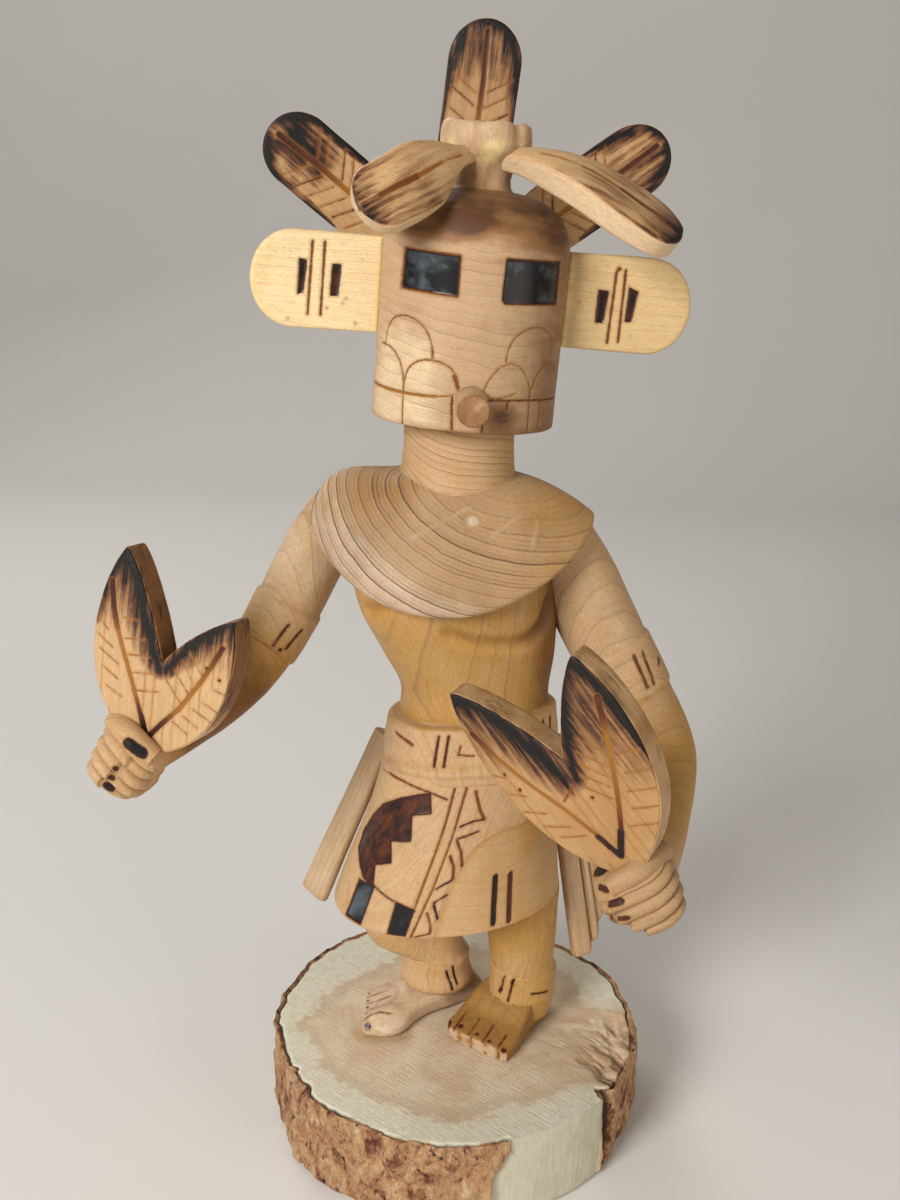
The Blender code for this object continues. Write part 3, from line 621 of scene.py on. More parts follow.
def bark_material(name):
    """The log slice: bark outside, sawn sapwood and heartwood, and torn wood at a knot."""
    n = Nodes(name)
    grain = n.attribute("grain", vector=True)
    x, y = n.across(grain)
    marks = ("bark", "heart", "gap", "torn", "sawn")
    bark, heart, gap, torn, sawn = (n.attribute(key) for key in marks)
    wide = n.grained(grain, 0.09, 0.05, 4.0, 0.6)
    mid = n.grained(grain, 0.5, 0.2, 4.0, 0.6)
    fuzz = n.grained(grain, 2.6, 0.35, 3.0, 0.7)
    grit = n.grained(grain, 5.0, 5.0, 2.0, 0.6)

    # sapwood and heartwood, with a darker line where they meet
    sap = n.mix(n.step(mid, 0.3, 0.75), (0.74, 0.70, 0.565), (0.65, 0.60, 0.455))
    kern = n.mix(n.step(wide, 0.35, 0.7), (0.74, 0.62, 0.46), (0.63, 0.47, 0.315))
    edge = n.add(heart, n.sway(wide, 12.0), n.sway(mid, 5.0))
    wood = n.mix(n.step(edge, -5.0, 4.5), sap, kern)
    seam = n.times(n.step(edge, -1.5, 0.6), n.step(edge, 1.0, 4.5, 1.0, 0.0), 0.35)
    wood = n.mix(seam, wood, (0.43, 0.27, 0.15))
    radius = n.distance(x, y)
    phase = n.add(n.times(radius, 0.42), n.sway(wide, 3.4), n.sway(mid, 0.6))
    ring = n.times(n.step(n.math("FRACT", phase), 0.5, 0.95), n.step(wide, 0.4, 0.6))
    wood = n.mix(n.times(ring, n.step(edge, -1.0, 2.0, 0.05, 0.14)), wood, (0.40, 0.25, 0.14))

    # slanting saw marks on top, and fibres down the bare side
    slant = n.add(n.times(x, 0.62), n.times(y, 0.78))
    across = n.add(n.times(x, 0.10), n.times(y, -0.08))
    cut = n.noise(n.joined(n.times(slant, 2.2), across), 3.0, 0.7)
    wood = n.mix(n.times(sawn, n.step(cut, 0.50, 0.75), 0.15), wood, (0.40, 0.33, 0.23))
    fibres = n.grained(grain, 2.2, 0.10, 3.0, 0.6)
    upright = n.math("SUBTRACT", 1.0, sawn)
    wood = n.mix(n.times(n.step(fibres, 0.5, 0.75), upright, 0.4), wood, (0.42, 0.35, 0.23))
    wood = n.mix(upright, wood, n.tinted(wood, (0.78, 0.78, 0.76)))

    # torn wood, and a brown smear that runs out from the heart towards it
    wood = n.mix(n.times(torn, n.step(mid, 0.25, 0.6), 0.4), wood, (0.46, 0.29, 0.16))
    polar = n.joined(n.times(radius, 0.09), n.times(n.math("ARCTAN2", y, x), 9.0))
    rays = n.noise(polar, 4.0, 0.65, distortion=0.8)
    smeared = n.times(n.attribute("smear"), n.step(rays, 0.36, 0.62), 0.75)
    wood = n.mix(smeared, wood, (0.43, 0.26, 0.14))
    wood = n.tinted(wood, n.math("MULTIPLY_ADD", grit, 0.42, 0.79))

    # bark, with dark pits and pale threads
    plates = n.grained(grain, 0.26, 0.18, 5.0, 0.66, distortion=0.7)
    crumbs = n.grained(grain, 1.3, 0.9, 4.0, 0.7)
    patches = n.grained(grain, 0.08, 0.08)
    skin = n.ramp(
        n.add(n.times(plates, 0.72), n.times(crumbs, 0.28), n.sway(patches, 0.16)),
        (0.34, (0.055, 0.016, 0.011)), (0.41, (0.18, 0.064, 0.032)), (0.48, (0.37, 0.185, 0.085)),
        (0.58, (0.50, 0.305, 0.150)), (0.72, (0.64, 0.47, 0.29)),
    )
    pits = n.grained(grain, 0.42, 0.34)
    skin = n.mix(n.step(pits, 0.64, 0.71), skin, (0.028, 0.010, 0.012))
    fibre = n.grained(grain, 0.30, 0.16, 2.0, 0.5, distortion=2.2)
    thread = n.times(n.step(fibre, 0.50, 0.53), n.step(fibre, 0.54, 0.57, 1.0, 0.0),
                     n.step(plates, 0.3, 0.6))
    skin = n.mix(n.times(thread, 0.6), skin, (0.64, 0.48, 0.31))
    colour = n.mix(bark, wood, skin)
    glued = n.times(n.attribute("glue"), n.step(mid, 0.3, 0.6, 0.4, 0.75))
    colour = n.mix(glued, colour, (0.42, 0.255, 0.10))
    # painted shade: near-black in the crevice, the crack at the bark's edge, the sunk lip and the
    # deepest torn troughs
    colour = n.mix(gap, colour, (0.022, 0.012, 0.008))
    n.feed(n.shader.inputs["Base Color"], colour)
    n.feed(n.shader.inputs["Roughness"], n.add(0.74, n.times(bark, 0.04), n.sway(fuzz, 0.2)))
    n.shader.inputs["Specular IOR Level"].default_value = 0.28
    height = n.add(n.times(fuzz, 0.35), n.times(cut, sawn, 0.9), n.times(grit, 0.55),
                   n.times(bark, crumbs, 1.6), n.times(bark, thread, 0.9))
    n.bump(height, 0.0003, 0.9)
    return n.material


# ------------------------------------------------------------------ log slice

SLICE_RADIUS, SLICE_HEIGHT, BARK = 44.3, 21.0, 1.1


def log_slice():
    angles = np.concatenate([
        np.linspace(-150, 50, 400, endpoint=False), np.linspace(50, 210, 130, endpoint=False)
    ])
    turns = np.radians(angles)
    spot = np.stack([np.cos(turns), np.sin(turns)], -1)
    inward = np.concatenate([
        [0.12, 0.3, 0.55, 0.8, 1.0, 1.2, 1.4, 1.6, 1.85, 2.1],
        np.linspace(2.5, 16, 34), np.linspace(16.6, 42.5, 34),
    ])

    def ring(radius, z):
        """Points at a radius and a height, each of them one number or one for each angle."""
        radius, level = (np.broadcast_to(value, angles.shape)[:, None] for value in (radius, z))
        return np.concatenate([spot * radius, level], 1)

    def side(z):
        """The side's radius at height z, how bare of bark it is, and the crevice down it."""
        p = ring(SLICE_RADIUS, z)
        left = -73.5 - 5.0 * smooth(20, 11, z) + 1.3 * noise(p, 4.0, 2, 3)
        right = -40.0 + 1.2 * noise(p, 5.0, 2, 4)
        bare = smooth(left - 0.6, left + 0.6, angles)
        bare = bare * (1 - smooth(right - 0.5, right + 0.5, angles))
        knot = smooth(-40, -24, angles) * (1 - smooth(2, 20, angles))
        waves = 0.45 * np.sin(3 * turns + 0.8) + 0.3 * np.sin(8 * turns + 2.0)
        rough = 0.75 * noise(p, 5.5, 3, 5) + 0.55 * noise(p * (1, 1, 0.45), 2.6, 3, 6)
        flake = smooth(0.12, 0.3, noise(p * (1, 1, 0.7), 6.0, 2, 7)) * 0.5
        pit = smooth(0.42, 0.6, noise(p, 3.4, 2, 8)) * 0.9
        crust = (waves + BARK + rough + flake - pit) * (1 - bare)
        fibres = 0.05 * bare * noise(p * (1, 1, 0.05), 0.8, 1, 9)
        crevice = bell(angles + 0.075 * (z - 12), -36.5, 2.0) * smooth(-1, 3, z)
        radius = SLICE_RADIUS - 0.3 + crust - 0.9 * knot + fibres - 2.6 * crevice
        return radius, bare, crevice

    rows, marks = [], []

    def keep(radius, z, **fields):
        rows.append(ring(radius, z))
        marks.append({key: np.broadcast_to(value, angles.shape) for key, value in fields.items()})

    foot_radius, _, _ = side(0.0)
    for share in (0.06, 0.35, 0.7, 0.9, 0.97):
        keep(foot_radius * share, 0.0, bark=0.0, gap=0.0, torn=0.0, sawn=1.0, smear=0.0)
    for z in np.linspace(0.0, SLICE_HEIGHT, 50):
        radius, bare, crevice = side(z)
        worn = 0.45 * (1 - bare) * smooth(20.0, 21.0, z) + 0.12 * bare * smooth(20.7, 21, z)
        # the crevice down the side is painted near-black, as its shade
        keep(radius - 0.8 * smooth(1.2, 0, z) - worn, z, bark=1 - bare,
             gap=0.85 * smooth(0.35, 0.9, crevice), torn=0.25 * bell(angles, -41, 3.0),
             sawn=0.0, smear=0.0)
    rim, bare, _ = side(SLICE_HEIGHT)
    rim = rim - 0.45 * (1 - bare) - 0.12 * bare
    for deep in inward:
        radius = rim - deep
        p = ring(radius, SLICE_HEIGHT)
        wall = (1.0 + 0.35 * noise(p, 5.0, 2, 12)) * (1 - bare)
        bark = (1 - bare) * (1 - smooth(wall - 0.2, wall + 0.2, deep))
        crack = (1 - bare) * bell(deep, wall, 0.28) * smooth(-0.25, 0.3, noise(p, 7.0, 2, 13))
        z = SLICE_HEIGHT - bark * (0.45 + 0.4 * noise(p, 2.2, 2, 14)) - 0.9 * crack
        z = z + 0.035 * noise(p * (0.25, 1.2, 1), 1.0, 2, 15)
        # wood torn away beside the knot, in ridges that run out to the edge
        drift = angles + 3.0 * noise(p, 6.0, 2, 16)
        torn = smooth(28.0, 39.0, radius + 4.0 * noise(p, 7.0, 2, 19)) * window(drift, -29, 3, 4.5)
        twist = (angles + 0.5 * radius + 5.0 * noise(p, 9.0, 2, 17)) / 3.1
        bent = np.stack([radius / 5.0 * 1.2, twist * 0.8, np.zeros(len(radius))], -1)
        bent = bent + 0.5 * noise(p, 5.0, 2, 25)[:, None] * (1.0, 1.0, 0.0)
        ridges = smooth(-0.75, 0.75, noise(bent, 1.0, 3, 22)) ** 1.2
        fall = 0.3 + 0.13 * np.clip(radius - 33, 0, 12) + 0.4 * noise(p, 1.7, 3, 18)
        z = z - torn * (fall + 2.1 * ridges * (0.4 + 0.6 * torn))
        lip = bell(angles, -30.5, 1.7) * smooth(37.5, 40.5, radius)
        z = np.maximum(z - 2.2 * lip, SLICE_HEIGHT - 6.0)
        # painted shade, near-black, in the crack at the bark's edge, the sunk lip beside the knot
        # and the deepest torn troughs
        gap = 0.6 * smooth(0.2, 0.7, crack) + 0.8 * smooth(0.4, 0.9, lip)
        gap = np.clip(gap + 0.25 * torn * smooth(0.7, 1.0, ridges), 0, 1)
        smear = smooth(8.0, 34.0, radius) * window(drift, -38, 12, 14) * (1 - bark)
        keep(radius, z, bark=bark, gap=gap, torn=torn, sawn=1 - bark, smear=smear)
    rows = np.array(rows)
    obj = solid("log_slice", rows)
    fields = {key: spread(np.array([m[key] for m in marks]), rows.shape[:2]) for key in marks[0]}
    co = points_of(obj)
    angle = np.degrees(np.arctan2(co[:, 1], co[:, 0]))
    # how far out the heartwood reaches, by degrees from +X
    stops = np.array([
        (-180, 34.5), (-174, 40), (-167, 37), (-148, 37), (-127, 36), (-89, 35), (-58, 34),
        (-42, 36), (-30, 43), (-20, 48), (4, 48), (10, 33), (18, 30.5), (32, 36), (60, 33),
        (100, 31), (141, 29), (158, 32), (180, 34.5),
    ])
    heart = np.interp(angle, stops[:, 0], stops[:, 1]) - np.hypot(co[:, 0], co[:, 1])
    heart = np.where(co[:, 2] < SLICE_HEIGHT - 4, -4.0, heart)
    toe = np.hypot((co[:, 0] + 18.5) / 8.0, (co[:, 1] + 6.5) / 6.0) + 0.3 * noise(co, 4.0, 2, 26)
    glue = 0.8 * smooth(1.15, 0.7, toe) * (co[:, 2] > 20)
    put(obj, grain=co + (6.0, -4.0, 0.0), heart=heart, glue=glue, **fields)
    return obj


# ------------------------------------------------------------------ carved figure

STAND = SLICE_HEIGHT + 0.02
NECK, NECK_RADIUS = (-4.6, 0.0), 12.1
BELT_BOTTOM, BELT_TOP, HEM, HIP_TILT = 92.5, 105.0, 58.5, 0.11
CAPE_TOP, CAPE_LEFT, CAPE_RIGHT, CAPE_FRONT, CAPE_BACK = 160.0, 32.0, 30.2, 22.6, 20.5

TORSO = np.array([
    # height, across, half width, front, back
    (86.0, 0.4, 18.0, 14.0, 12.5), (104.0, 1.2, 17.2, 12.6, 11.4), (110.0, 1.0, 16.9, 12.4, 11.2),
    (119.0, -0.9, 19.6, 14.6, 12.0), (128.0, -3.3, 22.0, 17.2, 13.0),
    (137.0, -4.6, 22.6, 18.6, 13.8),
    (146.0, -3.6, 21.4, 16.5, 13.2), (155.0, -4.2, 15.5, 12.0, 11.0),
])
KILT = np.array([
    (HEM, -3.7, 27.0, 23.4, 19.5), (68.0, -2.6, 25.0, 21.6, 18.2), (80.0, -1.0, 22.2, 18.8, 16.4),
    (BELT_BOTTOM + 3, 0.3, 19.4, 15.4, 14.2),
])
BELT = np.array([
    (BELT_BOTTOM, 0.6, 20.3, 16.4, 15.0), (98.7, 0.6, 20.0, 15.9, 14.4),
    (BELT_TOP, 0.6, 19.2, 14.9, 13.4),
])


def oval_rows(heights, angles, table, depth=0.0, rise=0.0, square=1.0):
    """Level or tilted rings, deeper in front or behind, from a table of sections."""
    across, wide, front, back = spline(heights, table[:, 0], table[:, 1:]).T[:, :, None]
    x = wide * spow(np.sin(angles), square)
    reach = np.where(np.cos(angles) > 0, front, back)
    y = -reach * spow(np.cos(angles), square)
    z = heights[:, None] + rise * x
    return np.stack([across + x, depth + y, z], -1)


def flat_map(rows, heights, centre, depth):
    """Each grid point as (distance round from the front, height), and the way to place
    strokes given as (degrees, height) on that flat map."""
    step = np.linalg.norm(np.diff(rows, axis=1, append=rows[:, :1]), axis=2)
    length = np.cumsum(step, axis=1) - step
    degrees = np.degrees(np.arctan2(rows[..., 0] - centre[:, None], -(rows[..., 1] - depth)))
    start = np.argmin(np.abs(degrees[0]))
    degrees = np.unwrap(degrees, axis=1, period=360.0)
    degrees -= 360.0 * np.round(degrees[:, start:start + 1] / 360.0)
    zero = np.array([np.interp(0.0, d, s) for d, s in zip(degrees, length)])
    length -= zero[:, None]

    def laid(item):
        stops = []
        for deg, height in item["stops"]:
            k = int(np.argmin(np.abs(heights - height)))
            stops.append((np.interp(deg, degrees[k], length[k]), height))
        return {**item, "stops": np.array(stops)}

    flat = np.stack([length, np.broadcast_to(heights[:, None], length.shape)], -1)
    ends = np.array([[0.0, heights[0] - 9.0], [0.0, heights[-1] + 9.0]])
    return np.vstack([flat.reshape(-1, 2), ends]), laid


def torso():
    heights = np.linspace(TORSO[0, 0], TORSO[-1, 0], 70)
    rows = oval_rows(heights, around(136, 34), TORSO)
    obj = solid("torso", rows)
    centre = spline(heights, TORSO[:, 0], TORSO[:, 1])
    flat, laid = flat_map(rows, heights, centre, 0.0)
    folds = (
        stroke(0.5, 0.0, (-6, 127.6), (8, 126.2), (23, 125.3), (40, 124.8), (52, 125.8),
               (64, 128.5), (70, 133.0)),
        stroke(0.4, 0.0, (-66, 129.6), (-54, 131.6), (-41, 133.0)),
    )
    edge, _, _ = burnt(flat, [laid(item) for item in folds])
    below = 1 - smooth(0.0, 2.4, edge)
    co = points_of(obj)
    carve(obj, 1.25 * below + 0.16 * noise(co, 9.0, 2, 21))
    waist = window(co[:, 2] - HIP_TILT * co[:, 0], 101.5, 106.5, 1.6)
    shaded = smooth(9, 19, co[:, 0])
    # below, the fold's groove, is darkened as well as carved: painted shade in the crease
    tone = 0.85 + 0.8 * below + 0.5 * waist * smooth(0, -14, co[:, 0]) + 1.1 * shaded
    grain = grain_frame(co, (30.0, 24.0, 120.0), (0.42, -0.1, -1.0))
    put(obj, grain=grain, tone=tone, ringed=0.45, dim=0.08 + 0.62 * shaded, **UNBURNT)
    return obj


def cape_rows(angles, reaches, lower=0.0, shrink=0.0):
    """Rings of the cape at shares of its reach, each sunk by lower and drawn in by shrink."""
    across, along = np.sin(angles), -np.cos(angles)
    reach = np.asarray(reaches, float)[:, None]
    lower, shrink = (np.asarray(value, float).reshape(-1, 1) for value in (lower, shrink))
    start = NECK_RADIUS - 1.5
    wide = blend(start, np.where(across < 0, CAPE_LEFT, CAPE_RIGHT), reach) - shrink
    deep = blend(start, np.where(along < 0, CAPE_FRONT, CAPE_BACK), reach) - shrink
    side = np.where(across < 0, 10.0 * reach**6, 8.5 * reach**1.7)
    front = (25.6 - 2.4 * across) * (0.5 * reach + 0.5 * reach**2)
    back = 21.0 * (0.6 * reach + 0.4 * reach**2)
    drop = np.where(along < 0, front, back)
    height = CAPE_TOP - blend(side, drop, np.abs(along) ** 1.5) - lower
    return np.stack([NECK[0] + wide * across, NECK[1] + deep * along, height], -1)


def cape():
    angles = around(210, 50, 110)
    top = np.concatenate([np.linspace(0.0, 0.12, 3), np.linspace(0.15, 0.98, 58)])
    lip = (0.992, 0.999, 1.0, 1.0, 0.998, 0.99)
    rows = np.concatenate([
        cape_rows(angles, top),
        cape_rows(angles, lip, (0.06, 0.25, 0.55, 1.0, 1.35, 1.5), (0, 0, 0, 0.1, 0.3, 0.6)),
        cape_rows(angles, (0.95, 0.86, 0.72), (2.4, 5.0, 9.0), 0.5),
        cape_rows(angles, (0.5, 0.3), (12.5, 16.0), 0.3),
    ])
    obj = solid("cape", rows)
    co = points_of(obj)
    x = co[:, 0]
    grain = grain_frame(co, (22.9, -39.0, 218.8), (0.504, 0.849, 0.162))
    radius = np.hypot(grain[:, 0], grain[:, 1])
    reach = np.zeros(rows.shape[:2])
    reach[:len(top)] = top[:, None]
    reach[len(top):len(top) + len(lip)] = 1.0
    reach = spread(reach, rows.shape[:2])
    scars = [
        stroke(0.55, 0.0, (-13.2, -16.3, 148.6), (-1.8, -14.3, 154.9)),
        stroke(0.4, 0.0, (3.2, -16.2, 149.6), (9.4, -12.6, 153.6)),
        stroke(0.4, 0.0, (11.6, -15.2, 147.2), (13.0, -12.0, 152.4)),
    ]
    edge, _, _ = burnt(co, scars)
    scar = 1 - smooth(0.0, 0.7, edge)
    plug = np.linalg.norm(co - (-1.0, -15.6, 152.2), axis=1)
    dent = 0.18 * bell(plug, 1.7, 0.5) - 0.1 * bell(plug, 0.0, 1.2)
    carve(obj, -0.2 * scar + dent + 0.10 * noise(co, 7.0, 2, 23) + 0.02 * noise(co, 1.2, 1, 24))

    outer = smooth(84.5, 89.5, radius) * smooth(14, -2, x)
    left = smooth(-8, -22, x) * smooth(-20, -8, co[:, 1]) * window(radius, 76, 88, 3)
    # towards +X, the side turned from the key light, the cape is browner and dimmer: painted shade
    right = smooth(4, 18, x)
    tone = 0.12 - 0.8 * outer + 0.45 * left + 0.4 * right - 0.5 * scar - 1.3 * (plug < 1.1)
    # the underside below the overhang is given deep-brown tone: painted shade
    tone = np.where(reach < 0.05, 0.8, tone)
    under = (reach == 0) * (co[:, 2] < 158)
    ringed = blend(0.5, 1.3, smooth(72.5, 80, radius)) + 0.9 * left
    ringed = ringed * (1 - 0.7 * scar) * smooth(1.3, 2.2, plug)
    dim = 0.12 + (0.28 + 0.24 * left) * smooth(16, -2, x) + 0.2 * right
    dim = dim + 0.2 * noise(co, 9.0, 2, 28)
    put(obj, grain=grain * (1.3, 1.3, 1.0), tone=tone + 0.9 * under, ringed=ringed, dim=dim,
        **UNBURNT)
    return obj


def neck():
    heights = np.linspace(145.0, 170.75, 44)
    radius = spline(heights, (145, 154, 157, 160.5, 164, 170.75),
                    (13.0, 13.5, 13.0, 12.35, 12.0, 11.9))
    obj = solid("neck", lathe(np.stack([radius, heights], -1), around(120, 30), NECK))
    co = points_of(obj)
    grain = grain_frame(co, (-50.8, 14.0, 160.0), (0.89, -0.376, -0.28)) * (2.2, 2.2, 1.0)
    # browner towards +X, the side turned from the key light, and at the top under the mask: painted
    # shade
    tone = 0.05 + 0.8 * smooth(0, 11, co[:, 0]) + 0.5 * smooth(-14, -17, co[:, 0])
    tone = tone + 0.4 * smooth(167, 171, co[:, 2])
    put(obj, grain=grain, tone=tone, ringed=0.95, **UNBURNT)
    return obj


def kilt():
    heights = np.concatenate([
        [HEM, HEM + 0.1, HEM + 0.35], np.linspace(HEM + 0.7, 95.5, 114)
    ])
    rows = oval_rows(heights, around(270, 46), KILT, depth=-0.5, rise=HIP_TILT, square=0.95)
    for k, share in enumerate((0.955, 0.98, 0.993)):
        rows[k] = blend(rows[k].mean(0), rows[k], share)
    obj = solid("kilt", rows)
    centre = spline(heights, KILT[:, 0], KILT[:, 1])
    flat, laid = flat_map(rows, heights, centre, -0.5)
    marks = [
        # the stepped cloud, its band and the two black squares at the hem
        stroke(0.5, 0.5, (-84, 93.0), (-68, 93.1), (-52, 92.7), (-37, 91.7)),
        stroke(0.45, 0.62, (-37, 91.7), (-27, 91.0), (-14.5, 89.7)),
        patch(0.78, (-27.5, 91.0), (-24, 86.4), (-37.5, 85.6), (-33.5, 79.9), (-47.5, 79.0),
              (-42.3, 74.5), (-53, 73.0), (-49, 68.4), (-59, 69.0), (-76, 73.5), (-79, 77),
              (-74, 82), (-65, 86), (-50, 89), (-36, 90.6), depth=0.35),
        stroke(0.42, 0.7, (-49, 68.7), (-39, 67.2), (-31, 66.2), (-19.8, 64.9)),
        patch(1.04, (-62.0, 68.6), (-48.2, 68.6), (-49.6, 59.2), (-63.0, 59.4)),
        patch(1.04, (-32.4, 66.6), (-20.0, 65.2), (-22.0, 58.8), (-33.0, 58.8)),
        # the flap's double border, and the zigzag beside it
        stroke(0.55, (0.55, 0.42, 0.36), (-9.2, 93.2), (-12.7, 84.5), (-20.2, 65.6)),
        stroke(0.55, (0.5, 0.4, 0.34, 0.5), (-0.2, 92.6), (-6.0, 82.0), (-12.1, 70.0),
               (-19.4, 58.6)),
        stroke(0.65, 0.5, (7.0, 91.2), (11.0, 87.2), (15.0, 84.8)),
        stroke(0.4, 0.75, (15.0, 84.8), (7.0, 84.6), (-2.0, 83.6)),
        stroke(0.42, 0.68, (11.6, 82.3), (5.0, 81.6), (-2.9, 80.9)),
        stroke(0.62, 0.55, (-2.5, 80.4), (1.5, 77.8), (3.3, 74.9)),
        stroke(0.62, 0.55, (-5.5, 77.2), (-2.0, 74.8), (-0.9, 72.0)),
        stroke(0.4, 0.75, (-0.9, 72.0), (-10.1, 70.0)),
        stroke(0.42, 0.72, (-2.9, 68.6), (-10.1, 66.8)),
        stroke(0.55, 0.95, (-9.6, 66.4), (-5.9, 63.2)),
        stroke(0.5, 0.5, (-12.6, 64.6), (-9.6, 62.0), (-8.7, 59.9)),
        stroke(0.4, 0.55, (-8.7, 59.9), (-17.5, 58.9)),
        # a pair of strokes on the left, and two more pairs behind
        stroke(1.25, 0.93, (25.6, 71.2), (26.2, 60.4), depth=0.35),
        stroke(1.2, 0.72, (35.2, 70.9), (35.4, 60.0), depth=0.35),
        *lines(1.2, 0.8, *(((deg, 71.0), (deg, 60.6)) for deg in (118, 127, 232, 241)), depth=0.35),
    ]
    edge, heat, depth = burnt(flat, [laid(item) for item in marks])
    co = points_of(obj)
    x, z = flat.T
    # the edge of the hand plumes' shadow, carved as a shallow step, with other grain and a darker
    # golden tone beyond it
    plume_shadow_edge = laid(stroke(0.1, 0.0, (75, 87), (58, 84.5), (42, 81.6), (30, 82.0), (19.4, 80.8),
                       (11, 79.2), (5.4, 76.6), (0, 72.6), (-3.0, 68.5), (-5.2, 63.8),
                       (-7.4, 58.0)))["stops"]
    border, _ = to_line(flat, plume_shadow_edge)
    beyond = np.where(x > np.interp(z, plume_shadow_edge[::-1, 1], plume_shadow_edge[::-1, 0]), border, -border)
    beyond = np.where(x > 40, 6.0, beyond)
    smoothed = smooth(-0.4, 0.9, beyond)
    carve(obj, depth + 0.22 * smoothed + 0.10 * noise(co, 8.0, 2, 25))
    # the darker golden tone beyond the edge, and the dark line along it, are painted shadow of the
    # hand plumes
    tone = 0.08 + 0.42 * smoothed * smooth(-2, 12, x) + 0.4 * bell(beyond, 0.5, 0.9)
    tone += 0.85 * bell(x, 17.5, 3.0) * smooth(70, 82, z) * smooth(92, 84, z)
    peach = grain_frame(co, (46.0, 30.0, 60.0), (-0.62, 0.1, -0.78))
    golden = grain_frame(co, (4.0, 10.0, 150.0), (0.05, 1.0, 0.02))
    grain = np.where((beyond > 0.2)[:, None], golden, peach)
    put(obj, grain=grain, tone=tone, ringed=blend(0.34, 0.22, smoothed), edge=edge, char=heat,
        scorch=0.0)
    return obj


def belt():
    heights = np.concatenate([[92.3], np.linspace(92.5, 104.9, 38), [105.1, 105.2]])
    rows = oval_rows(heights, around(216, 46), BELT, depth=-0.2, rise=HIP_TILT)
    for k, share in ((0, 0.975), (1, 0.992), (-3, 0.99), (-2, 0.965), (-1, 0.93)):
        rows[k, :, :2] = blend(rows[k].mean(0)[:2], rows[k, :, :2], share)
    obj = solid("belt", rows)
    flat, laid = flat_map(rows, heights, np.full(len(heights), 0.3), -0.5)
    marks = [
        stroke(0.5, 0.55, (-66.3, 103.0), (-57, 102.2)),
        stroke(0.8, 0.5, (-56, 102.1), (-48.5, 101.3)),
        stroke(0.35, 0.6, (-8.0, 101.8), (-9.2, 99.9), (3.3, 99.5)),
        *lines(0.62, 0.72, ((-26.9, 103.9), (-28.6, 96.9)), ((-18.5, 104.0), (-20.6, 97.1)),
               ((62, 103.9), (61, 97.0)), ((70, 103.9), (69, 97.0)),
               ((176, 103.9), (176, 97.0)), ((184, 103.9), (184, 97.0)), depth=0.25),
    ]
    edge, heat, depth = burnt(flat, [laid(item) for item in marks])
    co = points_of(obj)
    x, z = flat.T
    lower = z - (95.2 - 2.4 * smooth(2, 16, x) - 1.6 * smooth(-18, -26, x))
    ridge = -0.5 * bell(lower, 0.0, 0.8) + 0.25 * bell(lower, 1.5, 0.6)
    facet = np.abs(np.sin(x / 4.1 + 0.5 * np.sin(x / 7.0)))
    carve(obj, depth + ridge - 0.22 * facet + 0.08 * noise(co, 6.0, 2, 27))
    crease = 1 - smooth(0.0, 0.35, facet)
    # the groove above the lower ridge and the creases between facets are darkened: painted shade
    tone = -0.02 + 0.5 * bell(lower, 1.4, 0.7) + 0.35 * crease * smooth(97, 105, z)
    tone += 0.7 * smooth(104.2, 105.2, z)
    tone += 0.5 * smooth(-14, -19, co[:, 0]) * smooth(98, 104, co[:, 2])
    put(obj, grain=grain_frame(co, (40.0, 34.0, 90.0), (0.12, 0.0, -1.0)), tone=tone, ringed=0.3,
        edge=edge, char=heat, scorch=0.0)
    return obj


def leg(name, across, depth, lean, flare, ankle, band_low, band_high, marks, tone0, dim):
    """One leg with its anklet.

    flare is how far it spreads towards the doll's right under the kilt, and band_low and
    band_high are the anklet's heights above the log slice.
    """
    angles = around(84, 18)
    heights = np.concatenate([
        np.linspace(3.0, 5.2, 5), np.linspace(5.5, 17.0, 42), np.linspace(17.8, 45.0, 30)
    ])
    radius = spline(heights, (3.0, band_low - 0.6, band_low + 0.5, 12.0, 22.0, 32.0, 39.0, 45.0),
                    (ankle, ankle + 0.5, 7.6, 7.5, 8.2, 9.0, 9.2, 6.5))
    radius = radius + 0.65 * window(heights, band_low, band_high, 0.25)
    shift = np.interp(heights, (3, 15, 18, 24, 45), (0, 0.1, 0.75, 1.1, 2.6)) * lean
    calf = 0.5 * bell(heights, 24.0, 5.0)
    spreading = np.interp(heights, (3.0, 14.6, 16.5, 19.0, 24.0, 32.0, 38.0, 45.0),
                          (0, 0, 0.42, 0.8, 1.0, 0.92, 0.7, 0.35))
    sideways = np.clip(-np.sin(angles), 0, 1) ** np.where(np.cos(angles) > 0, 1.5, 6.0)
    radius = radius[:, None] + calf[:, None] * np.cos(angles) * 0.6
    radius = radius + flare * spreading[:, None] * sideways
    rows = np.stack([
        across + shift[:, None] + radius * np.sin(angles),
        depth - radius * np.cos(angles),
        np.broadcast_to(STAND + heights[:, None], radius.shape),
    ], -1)
    obj = solid(name, rows)
    co = points_of(obj)
    z = co[:, 2] - STAND
    edge, heat, cut = burnt(co, laid_on(obj, marks))
    rim = bell(z, band_low, 0.5) + bell(z, band_high, 0.5)
    carve(obj, cut + 0.12 * noise(co, 5.0, 2, 29) + 0.1 * rim * (noise(co, 2.5, 1, 30) > 0.1))
    # darker towards the top, under the kilt: painted shade
    tone = tone0 + 0.35 * rim * noise(co, 4.0, 1, 31) + 0.45 * smooth(18, 34, z)
    put(obj, grain=grain_frame(co, (across + 16, 20.0, 0.0), (0.1, 0.0, 1.0)), tone=tone,
        ringed=0.25, edge=edge, char=heat, scorch=0.0, dim=dim)
    return obj


